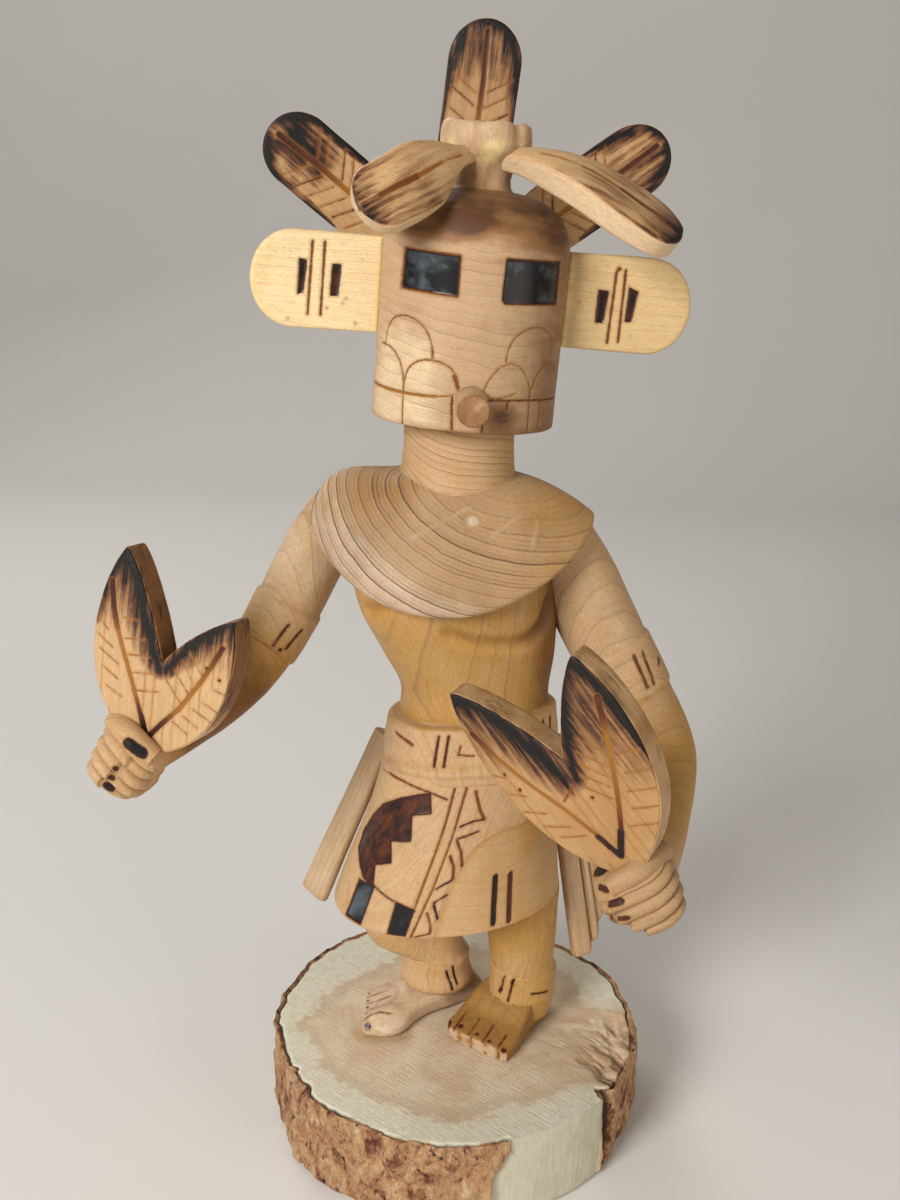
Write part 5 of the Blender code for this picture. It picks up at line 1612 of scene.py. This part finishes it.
def fan_feather(name, angle, length, width, seed, burn, glow, mottle):
    """One flat plume of the fan. burn is how far its tip's scorch reaches, and glow how
    strongly it is toasted below."""
    shape = outline(length, lambda t: plume_half(t, width), 72)
    obj, depth, front, wall = plate(name, [shape], 3.0, 0.45, 0.4)
    co = points_of(obj)
    flat = co[:, (0, 2)]
    top = length - 2.6
    strokes = [stroke(1.1, (0.2, 0.25, 0.7, 0.8), (0.1, 17.0), (0.2, top - 10.5),
                      (0.0, top - 5.5), (-0.2, top))]
    for k, height in enumerate((18.5, 22.0, 25.4, 28.8, 32.2, 35.6)):
        for sign in (-1, 1):
            height_in = height + 0.5 * math.sin(3.1 * k + sign + seed)
            heat = 0.5 + 0.2 * math.sin(k * 2.3 + sign)
            strokes.append(stroke(0.34, heat, (1.2 * sign, height_in),
                                  (6.3 * sign, height_in + 3.2), depth=0.24))
    edge, heat, cut = burnt(flat, strokes)
    half = 0.5 * width
    trail = [(-half, 24.0, 0.3), (-half, 34.0, 0.8), (-half + 0.4, 40.0, 1.6),
             (-half * 0.6, length - 2.0, burn), (0.0, length, burn),
             (half * 0.6, length - 2.0, burn), (half - 0.4, 40.0, 1.8), (half, 34.0, 1.1),
             (half, 24.0, 0.5)]
    scorch = scorched(flat, trail, glows=[(0.6, length - 6.0, 14.0, glow)])
    spotty = mottle * noise(co, 5.0, 2, seed + 60) * smooth(0.1, 0.3, scorch)
    scorch = scorch * np.where(front, 1.0, 0.7) + spotty
    toasted = np.maximum(0.8 * scorch, 0.5 * smooth(16, 34, flat[:, 1]))
    crown = 0.18 * smooth(3.0, 0.0, depth) * ~wall
    carve(obj, cut * front + crown + 0.04 * noise(co, 4.0, 1, seed))
    put(obj, grain=co + (14.0, 9.0 * seed, 0.0), tone=0.3 + 0.3 * wall, ringed=0.3,
        edge=np.where(front, edge, FAR), char=heat, scorch=np.where(wall, toasted, scorch),
        dim=0.25 * (seed == 2))
    return on_head(obj, (0, 0, 4.6), turn("Y", angle), (-2.4, HEAD_RADIUS - 1.1, 27.0))


def brow_feather(name, path, lean, width, thick, swell, seed):
    """A plume that bends out and down over the brow from the peg on the crown."""
    ends = 1 - np.linspace(1, 0, 26)[1:] ** 2 * 0.17
    t = np.unique(np.clip(np.concatenate([np.linspace(0, 0.83, 96), ends]), 0, 0.9995))
    eased = blend(t, np.sin(0.5 * math.pi * t), 0.35)
    here = catmull(path, np.minimum(eased, 0.9999))
    before, after = np.maximum(eased - 0.01, 0.0), np.minimum(eased + 0.01, 1.0)
    ahead = catmull(path, after) - catmull(path, before)
    ahead /= np.linalg.norm(ahead, axis=1)[:, None]
    lean = np.asarray(lean, float)
    across = lean - ahead * (ahead @ lean)[:, None]
    across /= np.linalg.norm(across, axis=1)[:, None]
    up = np.cross(across, ahead)
    up /= np.linalg.norm(up, axis=1)[:, None] * np.sign(up[0, 2])
    half = np.maximum(0.15, plume_half(np.minimum(eased, 0.9993), width, swell))[:, None]
    thin = 0.5 * thick * blend(0.6, 1.0, smooth(0, 0.4, eased))
    thin = thin * blend(1, 0.8, smooth(0.6, 1, eased))
    thin = (thin * np.sqrt(1 - smooth(0.985, 1.0, eased) * 0.6))[:, None]
    cx, cz = spow(np.cos(circle(96)), 0.5), spow(np.sin(circle(96)), 0.28)
    lift = thin * cz + 0.25 * (1 - np.abs(cx)) * (cz > 0)
    rows = here[:, None] + across[:, None] * (half * cx)[..., None] + up[:, None] * lift[..., None]
    obj = solid(name, rows)
    shape = rows.shape[:2]
    length = np.concatenate([[0], np.cumsum(np.linalg.norm(np.diff(here, axis=0), axis=1))])
    u, v = spread(half * cx, shape), spread(length[:, None], shape)
    way = spread(eased[:, None], shape)
    top = spread(smooth(0.55, 0.8, cz), shape)
    share = spread(np.abs(cx), shape)
    total = length[-1]
    strokes = [
        stroke(0.5, 0.2, (0, 0.22 * total), (0.2, 0.42 * total)),
        stroke(0.9, 0.35, (0.2, 0.42 * total), (0.1, 0.62 * total)),
        stroke(1.2, 0.55, (0.1, 0.62 * total), (-0.2, 0.86 * total)),
    ]
    edge, heat, cut = burnt(np.stack([u, v], -1), strokes)
    body = smooth(0.34, 0.6, way)
    rim = smooth(0.68, 0.93, share) * smooth(0.5, 0.75, way) + smooth(0.93, 0.99, way)
    scorch = 0.22 * body + 0.20 * np.clip(rim, 0, 1) * body + 0.25 * smooth(0.75, 0.97, way)
    scorch = top * np.maximum(scorch, 0.16 * smooth(0.2, 0.4, way) * smooth(0.4, 0.7, share))
    spots = noise(np.stack([u, v * 0.5, 0 * v], -1), 2.6, 2, seed + 61)
    scorch = scorch + 0.3 * top * spots * smooth(0.45, 0.7, way)
    scorch = scorch + 0.22 * top * smooth(0.8, 1.0, way) * (seed == 5)
    scorch = scorch - 0.35 * smooth(0.9, 1.0, share)
    carve(obj, cut * (top > 0.5) + 0.06 * noise(points_of(obj), 4.0, 2, seed))
    tone = blend(-1.5, -0.1, top) + 0.4 * body * top
    height = spread(thin * cz, shape)
    put(obj, grain=np.stack([u + 3.0 * seed, 1.5 * height + 12.0, v], -1), tone=tone,
        ringed=0.25, edge=np.where(top > 0.5, edge, FAR), char=heat,
        scorch=np.clip(scorch, 0, 1))
    return on_head(obj)


def ear(name, sign, strokes):
    """A flat paddle with a round end, on the left for a sign of 1 and the right for -1."""
    low, high, tip = 16.8, 36.2, 46.0
    radius, middle = 0.5 * (high - low), 0.5 * (low + high)
    a = np.linspace(-0.5, 0.5, 60) * math.pi
    end = np.stack([tip - radius + radius * np.cos(a) ** 0.9,
                    middle + (radius + 0.2) * np.sin(a)], -1)
    inner = HEAD_RADIUS - 0.25
    x = np.linspace(inner + 1, tip - radius - 0.5, 12)
    widening = 0.2 * (x - inner) / (tip - radius - inner)
    lower, upper = np.stack([x, low - widening], -1), np.stack([x, high + widening], -1)
    shape = np.vstack([[(inner, low)], lower, end, upper[::-1], [(inner, high)]])
    shape[:, 0] *= sign
    if sign < 0:
        shape = shape[::-1]
    obj, _, front, _ = plate(name, [shape], 3.4, 0.42, 0.7)
    co = points_of(obj)
    edge, heat, cut = burnt(co[:, (0, 2)], strokes)
    carve(obj, cut * front + 0.07 * noise(co, 6.0, 2, 71))
    out = co[:, 0] * sign
    fan = (co[:, 2] - middle) * (1 + 0.006 * (out - 19))
    glue = smooth(1.6, 0.2, out - HEAD_RADIUS + 0.6 * noise(co, 3.0, 2, 72))
    tone = blend(-0.7, -0.1, sign > 0) + 0.5 * smooth(40, 46, out)
    put(obj, grain=np.stack([fan + 30.0, 0.25 * co[:, 1] + 7.0, out], -1), tone=tone, ringed=0.55,
        edge=np.where(front, edge, FAR), char=heat, scorch=0.0, glue=glue, dim=0.34 * (sign > 0))
    return on_head(obj, (0, -1.7, 0))


# ------------------------------------------------------------------ head


def case_mask():
    angles = around(230, 56, 100)
    u = 0.5 * math.pi * (1 - np.linspace(0.03, 1, 66) ** 0.9)
    dome = np.stack([HEAD_RADIUS * np.cos(u) ** 0.66,
                     blend(DOME_START, HEAD_HEIGHT, np.sin(u) ** 0.85)], -1)
    side = np.stack([np.full(114, HEAD_RADIUS), np.linspace(DOME_START - 0.3, 0.55, 114)], -1)
    low = np.array([(19.3, 0.25), (19.05, 0.05), (18.6, 0.0), (16.0, 0.0), (11.0, 0.0)])
    profile = np.vstack([dome, side, low])
    obj = solid("case_mask_carved", lathe(profile, angles))
    shape = (len(profile), len(angles))
    # marks are placed by degrees round from the front and height
    per = HEAD_RADIUS * math.pi / 180
    deg = spread(np.degrees((angles + math.pi) % (2 * math.pi) - math.pi), shape)
    z, radius = spread(profile[:, 1:], shape), spread(profile[:, :1], shape)
    marks = (
        patch(1.18, (-51.8, 34.8), (-12.6, 34.2), (-12.5, 26.2), (-53.0, 26.8), depth=0.45),
        patch(1.06, (13.4, 34.3), (57.2, 34.4), (58.8, 26.5), (56.5, 25.9), (15.0, 25.6),
              (12.8, 26.4), depth=0.45),
        arch(0.34, 0.42, -45.5, 15.0, 20.0, 7.3, sag=1.2),
        stroke(0.34, 0.55, (-25.4, 15.6), (-24.6, 13.6)),
        stroke(0.36, 0.4, (-70, 15.5), (-60, 15.2), (-53.7, 14.3), (-48.5, 12.6), (-45.6, 10.5),
               (-44.2, 7.6), (-43.4, 0.2)),
        arch(0.38, 0.36, -26.0, 8.4, 17.8, 5.4),
        stroke(0.7, 0.5, (-11.5, 11.2), (-8.4, 8.9)),
        stroke(0.62, 0.26, (-82, 6.8), (-60, 6.7), (-44, 6.6), (-30, 6.6), (-21, 6.8)),
        stroke(0.32, 0.3, (-21, 6.8), (-11, 7.3)),
        stroke(0.42, 0.55, (-11.6, 7.2), (-10.3, 0.5)),
        stroke(0.26, 0.3, (6.5, 8.6), (9.0, 10.8), (15.0, 13.4), (22.1, 14.4), (28.5, 13.8),
               (33.5, 12.2), (37.2, 10.2), (38.8, 8.6)),
        stroke(0.26, 0.3, (6.5, 8.6), (7.3, 7.8), (14.6, 7.3), (21.0, 7.7), (28.0, 8.5)),
        arch(0.28, 0.35, 38.0, 14.6, 19.0, 6.3, sag=-1.2),
        stroke(0.34, 0.35, (39.4, 9.2), (41.5, 11.0), (44.7, 12.6), (51, 14.2), (57.5, 14.5),
               (62.5, 13.6), (65.5, 12.0)),
        stroke(0.42, 0.62, (8.6, 6.9), (24.4, 7.0), (38.2, 7.0), (55, 6.9), (71, 6.8)),
        stroke(0.3, 0.5, (38.4, 8.6), (39.2, 0.3)),
        stroke(0.55, 0.55, (22.3, 6.7), (22.2, 5.1)),
        stroke(0.45, 0.5, (7.9, 2.2), (7.7, 0.3)),
        stroke(0.3, 0.4, (49.0, 6.4), (49.3, 1.2)),
        # a plain band carries on round the back
        stroke(0.36, 0.35, (71, 6.8), (110, 6.8), (150, 6.8), (179, 6.8)),
        stroke(0.36, 0.35, (-82, 6.8), (-120, 6.8), (-150, 6.8), (-179, 6.8)),
    )
    marks = [{**item, "stops": np.array(item["stops"]) * (per, 1.0)} for item in marks]
    edge, heat, cut = burnt(np.stack([deg * per, z], -1), marks)
    on_side = smooth(HEAD_RADIUS - 2.2, HEAD_RADIUS - 1.2, radius)
    co = points_of(obj)
    carve(obj, cut * on_side + 0.10 * noise(co, 9.0, 2, 81))
    smudge = bell(deg * per, 18.7 * per, 2.9) * bell(z, 3.6, 2.4)
    # the spot below and the forehead under the brow plumes are darker: partly a stain, partly
    # painted shadow of the plumes
    stain_and_shadow = bell(np.hypot(co[:, 0] + 3.6, co[:, 2] - 41.4), 0.0, 4.4) * (co[:, 1] < 0)
    forehead = smooth(36.5, 41.5, z + 0.05 * np.abs(deg - 5)) * smooth(80, 40, np.abs(deg))
    forehead = forehead * (co[:, 1] < 6)
    # the left cheek, on the side towards the key light, is paler: painted light
    lit_cheek = smooth(-8, -30, deg) * smooth(-95, -60, deg) * smooth(25, 12, z)
    tone = 0.12 - 0.9 * lit_cheek + 1.2 * stain_and_shadow + 1.5 * forehead + 2.3 * smudge
    # browner towards +X, the side turned from the key light: painted shade
    tone = tone + 0.5 * smooth(0, 60, deg) * smooth(120, 70, deg) + 0.6 * smooth(2.2, 0.0, z)
    level = noise(co * (0.16, 0.3, 1.0), 1.7, 3, 82)
    tone = tone + level * blend(0.3, 0.9, smooth(30, 42, z))
    # the same side is dimmed as painted shade, and the forehead as part of the plumes' shadow
    right = smooth(10, 62, deg) * smooth(130, 80, deg)
    grain = grain_frame(co, (9.0, 0.0, 112.0), (0.06, 1.0, 0.05)) * (1.7, 1.7, 1.0)
    put(obj, grain=grain, tone=tone, ringed=blend(0.62, 0.25, smooth(33, 38, z)),
        edge=np.where(on_side > 0.5, edge, FAR), char=heat, scorch=0.0,
        dim=0.42 * right + 0.12 * forehead)
    return on_head(obj)


def snout():
    """A short dowel, its sawn end darker and slightly dished."""
    reach, radius = 6.4, 3.3
    r = np.linspace(0.25, radius - 0.35, 16)
    cap = np.stack([r, reach - 0.12 * (1 - (r / radius) ** 2)], -1)
    edge = [(radius - 0.2, reach - 0.04), (radius - 0.06, reach - 0.16), (radius, reach - 0.4)]
    body = np.stack([np.full(22, radius), np.linspace(reach - 0.7, -0.8, 22)], -1)
    obj = solid("snout_dowel", lathe(np.vstack([cap, edge, body]), circle(72) + 0.5 * math.pi))
    co = points_of(obj)
    away = np.hypot(co[:, 0], co[:, 1])
    face = smooth(reach - 0.5, reach - 0.2, co[:, 2])
    carve(obj, 0.07 * noise(co, 1.4, 2, 91))
    tone = 0.55 + 0.5 * noise(co, 2.4, 2, 92) + 0.3 * smooth(2.4, 3.3, away)
    scorch = 0.16 * face * smooth(0.6, 2.2, np.hypot(co[:, 0], co[:, 1] - 1.4))
    scorch = scorch + 0.5 * smooth(0.6, -0.4, co[:, 2])
    put(obj, grain=co + (5.0, 2.0, 0.0), tone=0.25 + face * tone, ringed=blend(0.3, 0.7, face),
        **{**UNBURNT, "scorch": scorch})
    return on_head(obj, turn("X", 97.0), (0.0, -HEAD_RADIUS, 6.2))


def crown_peg():
    """The knob on the crown: a flat top, facets round its side, and a waist."""
    profile = resampled([
        (0.4, 59.5), (3.0, 59.6), (6.6, 59.55), (7.5, 59.4), (8.1, 59.0), (8.35, 58.2),
        (8.5, 56.6), (8.45, 55.6), (8.2, 54.4), (7.7, 53.4), (7.1, 52.5), (6.5, 51.6),
        (6.1, 50.6), (5.8, 49.0), (6.1, 47.3), (7.6, 45.6),
    ], 60)
    obj = solid("crown_knob", lathe(profile, circle(84) + 0.5 * math.pi))
    co = points_of(obj)
    z = co[:, 2]
    angle = np.arctan2(co[:, 1], co[:, 0])
    turned_by = angle + 0.35 * np.sin(2 * angle + 1.0)
    facets = np.abs(np.sin(3.5 * turned_by + 0.6)) * smooth(52, 55, z) * smooth(59.5, 59.0, z)
    carve(obj, 0.95 * facets + 0.22 * noise(co, 3.0, 2, 95))
    tone = 0.12 + 0.35 * smooth(55, 52, z) + 0.3 * smooth(59.0, 59.5, z)
    tone = tone + 0.6 * noise(co * (1, 1, 0.3), 2.5, 2, 97)
    glue = smooth(0.0, 0.2, noise(co, 4.0, 1, 96) - co[:, 0] / 30)
    put(obj, grain=grain_frame(co, (14.0, 10.0, 50.0), (0.05, 0.0, 1.0)), tone=tone, ringed=0.4,
        glue=0.5 * window(z, 52.0, 56.0, 0.8) * glue,
        **{**UNBURNT, "scorch": 0.05 * smooth(50, 46, z)})
    return on_head(obj)


# ------------------------------------------------------------------ hip sashes


def board(name, top, bottom, across, width, thick, taper, grooves, ends, seed):
    """A long thin board. grooves are (share across, depth); ends shorten parts of it."""
    start, end = np.asarray(top, float), np.asarray(bottom, float)
    along = end - start
    length = np.linalg.norm(along)
    along /= length
    side = np.asarray(across, float)
    side -= along * (side @ along)
    side /= np.linalg.norm(side)
    out = np.cross(along, side)
    if out[1] > 0:
        out = -out
    t = np.concatenate([[0, 0.004], np.linspace(0.01, 0.985, 100), (0.993, 0.998, 1.0)])
    face = np.linspace(-1, 1, 40)
    ring_x = np.concatenate([face, face[::-1]])
    front = np.repeat([1.0, -1.0], 40)
    thin = np.sqrt(np.clip(1 - np.abs(ring_x) ** 8, 0.08, 1))
    keep = np.interp(ring_x, *zip(*ends))

    def grooved(wide):
        return sum(depth * bell(ring_x, where, wide) for where, depth in grooves)

    rows = []
    for share in t:
        half = 0.5 * width * blend(taper, 1.0, share)
        z = front * 0.5 * thick * (thin - grooved(0.085) * smooth(0.0, 0.15, share))
        tip = smooth(0.985, 1.0, share)
        reach = length * share * blend(1.0, keep, smooth(0.35, 0.9, share))
        x = half * ring_x * (1 - 0.06 * tip)
        rows.append(start + np.outer(reach, along) + np.outer(x, side)
                    + np.outer(z * (1 - 0.25 * tip), out))
    obj = solid(name, np.array(rows))
    shape = (len(t), len(ring_x))
    u, f = spread(ring_x * 0.5 * width, shape), spread(front, shape)
    v, deep = spread((t * length)[:, None], shape), spread(grooved(0.10), shape)
    carve(obj, 0.12 * noise(np.stack([u * 3, f, v * 0.35], -1), 2.5, 2, seed))
    tone = -0.35 + 1.4 * deep + 0.4 * smooth(0.93, 1.0, v / length)
    tone = tone + 0.5 * smooth(0.3, 0.9, u / width * 2) * (seed > 6)
    put(obj, grain=np.stack([u + 9.0, 2.0 * f + 6.0, v], -1), tone=tone, ringed=0.5,
        **{**UNBURNT, "scorch": np.clip(0.28 * deep, 0, 1)})
    return obj


# ------------------------------------------------------------------ the whole doll


def finished(obj, nodes, material, slot, sharp=40.0):
    """Shades the piece, gives it its material, and has it stand for its plain solids."""
    mesh = obj.data
    mesh.materials.clear()
    mesh.materials.append(material)
    mesh.shade_smooth()
    mesh.set_sharp_from_angle(angle=math.radians(sharp))
    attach(obj, "root")
    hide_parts(*nodes)


def build():
    figure = wood_material(
        "figure_wood", pale=(0.66, 0.52, 0.38), plain=(0.52, 0.335, 0.175),
        honey=(0.47, 0.262, 0.072), deep=(0.22, 0.092, 0.024),
        ring_colour=(0.19, 0.098, 0.052), spacing=2.7, ring=0.72, wobble=0.4)
    mask = wood_material(
        "mask_wood", pale=(0.72, 0.56, 0.35), plain=(0.50, 0.335, 0.195),
        honey=(0.27, 0.135, 0.055), deep=(0.10, 0.045, 0.020),
        ring_colour=(0.25, 0.13, 0.065), spacing=3.6, ring=0.62, wobble=0.7, mottle=0.7)
    paddle = wood_material(
        "ear_wood", pale=(0.80, 0.64, 0.38), plain=(0.74, 0.545, 0.28),
        honey=(0.64, 0.41, 0.15), deep=(0.45, 0.24, 0.07), ring_colour=(0.50, 0.28, 0.10),
        spacing=2.1, ring=0.5, pores=0.25, wobble=0.5, mottle=0.4, fibre=0.12)
    feather = wood_material(
        "feather_wood", pale=(0.64, 0.47, 0.29), plain=(0.53, 0.34, 0.17),
        honey=(0.385, 0.205, 0.075), deep=(0.20, 0.085, 0.028),
        ring_colour=(0.30, 0.15, 0.06), spacing=3.1, ring=0.45, mottle=0.5, roughness=0.42)
    sash = wood_material(
        "sash_wood", pale=(0.62, 0.48, 0.32), plain=(0.48, 0.32, 0.18),
        honey=(0.33, 0.18, 0.07), deep=(0.16, 0.07, 0.025),
        ring_colour=(0.18, 0.09, 0.045), spacing=1.3, ring=0.7, roughness=0.6)
    bark = bark_material("bark_slice")

    for maker, node, material, slot in (
        (log_slice, "log_slice_base", bark, "bark_slice"),
        (carved_figure, "carved_figure", figure, "figure_wood"),
        (right_arm, "right_arm", figure, "figure_wood"),
        (left_arm, "left_arm", figure, "figure_wood"),
        (right_hand_feathers, "right_hand_feathers", feather, "feather_wood"),
        (left_hand_feathers, "left_hand_feathers", feather, "feather_wood"),
        (case_mask, "case_mask", mask, "mask_wood"),
        (snout, "snout", mask, "mask_wood"),
        (crown_peg, "crown_peg", mask, "mask_wood"),
    ):
        finished(maker(), [node], material, slot)
    finished(ear("right_ear_paddle", -1, [
        patch(0.9, (-36.1, 30.6), (-34.4, 30.4), (-34.9, 23.8), (-36.2, 23.5), depth=0.4),
        patch(0.84, (-29.3, 30.0), (-27.4, 30.1), (-27.8, 23.7), (-29.5, 23.5), depth=0.4),
        stroke(0.55, 0.5, (-33.5, 34.2), (-33.9, 19.6)),
        stroke(0.55, 0.5, (-31.0, 34.2), (-31.2, 19.6)),
        stroke(0.3, 0.6, (-37.9, 18.4)), stroke(0.35, 0.6, (-26.1, 23.3)),
        stroke(0.3, 0.6, (-30.0, 21.1)), stroke(0.3, 0.6, (-23.9, 18.4)),
        stroke(0.25, 0.5, (-26.8, 22.3)),
    ]), ["right_ear"], paddle, "ear_wood")
    finished(ear("left_ear_paddle", 1, [
        patch(0.9, (26.0, 29.2), (28.3, 29.0), (27.8, 22.5), (26.0, 22.4), depth=0.4),
        patch(0.87, (32.4, 30.2), (34.5, 29.4), (33.8, 23.1), (32.3, 23.0), depth=0.4),
        stroke(0.55, 0.55, (29.4, 33.0), (29.1, 18.5)),
        stroke(0.55, 0.55, (31.3, 33.4), (31.4, 18.8)),
        stroke(1.0, 0.5, (29.9, 33.6)), stroke(0.25, 0.6, (22.3, 26.2)),
        stroke(0.3, 0.5, (34.0, 20.4)),
    ]), ["left_ear"], paddle, "ear_wood")
    for name, node, *shape in (
        ("fan_plume_right", "fan_feather_right", -55.0, 47.0, 15.5, 1, 1.7, 0.78, 0.75),
        ("fan_plume_middle", "fan_feather_middle", 3.0, 50.0, 15.6, 2, 2.4, 0.5, 0.3),
        ("fan_plume_left", "fan_feather_left", 52.0, 50.5, 15.2, 3, 1.5, 0.45, 0.35),
    ):
        finished(fan_feather(name, *shape), [node], feather, "feather_wood")
    for name, node, *shape in (
        ("brow_plume_right", "brow_feather_right",
         [(-2.0, -2.9, 53.8), (-9.6, -12.2, 50.4), (-16.3, -19.0, 45.6), (-24.4, -23.0, 40.6)],
         (0.04, 0.50, 0.86), 13.6, 4.8, (0.1, 0.56), 4),
        ("brow_plume_left", "brow_feather_left",
         [(2.8, -3.7, 53.2), (9.8, -7.7, 52.2), (18.6, -10.8, 49.6), (28.8, -12.4, 44.6),
          (38.6, -13.0, 39.6)],
         (0.05, 0.84, 0.54), 15.6, 6.0, (0.1, 0.78), 5),
    ):
        finished(brow_feather(name, *shape), [node], feather, "feather_wood")
    for name, node, *shape in (
        ("right_sash", "right_hip_sash", (-19.4, 5.5, 95.0), (-36.0, 3.5, 53.0),
         (0.76, -0.65, 0.0), 8.0, 3.4, 0.7, [(0.0, 0.0)], [(-1, 1.0), (1, 1.0)], 5),
        ("left_sash", "left_hip_sash", (21.6, 4.5, 96.0), (32.6, 5.0, 38.6),
         (0.95, 0.3, 0.0), 9.4, 4.2, 0.8, [(0.1, 0.55), (0.6, 0.4)],
         [(-1, 1.0), (0.08, 0.995), (0.12, 0.95), (0.58, 0.93), (0.62, 0.86), (1, 0.84)], 7),
    ):
        finished(board(name, *shape), [node], sash, "sash_wood")


def stage():
    """The pale sweep it stands on, the light, and the photograph's view."""
    scene = bpy.context.scene
    sweep = np.linspace(0, 0.5 * math.pi, 24)
    bend = [(700 + 500 * math.sin(a), 500 - 500 * math.cos(a)) for a in sweep]
    profile = [(-2000.0, 0.0), *bend, (1200.0, 3000.0)]
    verts = [(x, y, z - 0.02) for y, z in profile for x in (-3500, 3500)]
    faces = [(2 * k, 2 * k + 1, 2 * k + 3, 2 * k + 2) for k in range(len(profile) - 1)]
    floor = made("floor", verts, faces)
    floor.data.shade_smooth()
    n = Nodes("pale_floor")
    coordinates = n.node("ShaderNodeTexCoord").outputs["Object"]
    shade = n.noise(n.scaled(coordinates, 6.0, 6.0, 6.0), 3.0)
    n.feed(n.shader.inputs["Base Color"], n.mix(shade, (0.68, 0.66, 0.63), (0.72, 0.70, 0.67)))
    n.shader.inputs["Roughness"].default_value = 0.8
    floor.data.materials.append(n.material)

    world = bpy.data.worlds.new("studio")
    world.use_nodes = True
    sky = world.node_tree.nodes["Background"]
    sky.inputs[0].default_value = (1.0, 0.97, 0.93, 1.0)
    sky.inputs[1].default_value = 0.235
    scene.world = world

    aim = Vector((0.0, 0.0, 0.12))
    for name, spot, size, watts, colour in (
        ("key", (-0.60, -0.80, 0.56), 0.40, 12.6, (0.975, 0.97, 0.95)),
        ("fill", (0.80, -0.60, 0.30), 0.6, 3.2, (1.0, 0.92, 0.80)),
        ("rim", (-0.35, 0.60, 0.65), 0.4, 2.0, (1.0, 0.98, 0.95)),
    ):
        data = bpy.data.lights.new(name, "AREA")
        data.energy, data.size, data.color = watts, size, colour
        lamp = bpy.data.objects.new(name, data)
        lamp.location = spot
        lamp.rotation_euler = (aim - lamp.location).to_track_quat("-Z", "Y").to_euler()
        scene.collection.objects.link(lamp)

    camera_data = bpy.data.cameras.new("camera")
    camera_data.lens, camera_data.sensor_width = 37.05, 36.0
    camera_data.clip_start = 0.01
    camera = bpy.data.objects.new("camera", camera_data)
    tip, roll = math.radians(17.0), math.radians(2.05)
    forward = Vector((0.0, math.cos(tip), -math.sin(tip)))
    level = Vector((1.0, 0.0, 0.0))
    upright = Vector((0.0, math.sin(tip), math.cos(tip)))
    right = level * math.cos(roll) + upright * math.sin(roll)
    up = upright * math.cos(roll) - level * math.sin(roll)
    camera.matrix_world = Matrix((
        (right.x, up.x, -forward.x, -0.0053), (right.y, up.y, -forward.y, -0.265),
        (right.z, up.z, -forward.z, 0.21127), (0, 0, 0, 1),
    ))
    scene.collection.objects.link(camera)
    scene.camera = camera
    scene.view_settings.view_transform = "Standard"


build()
stage()
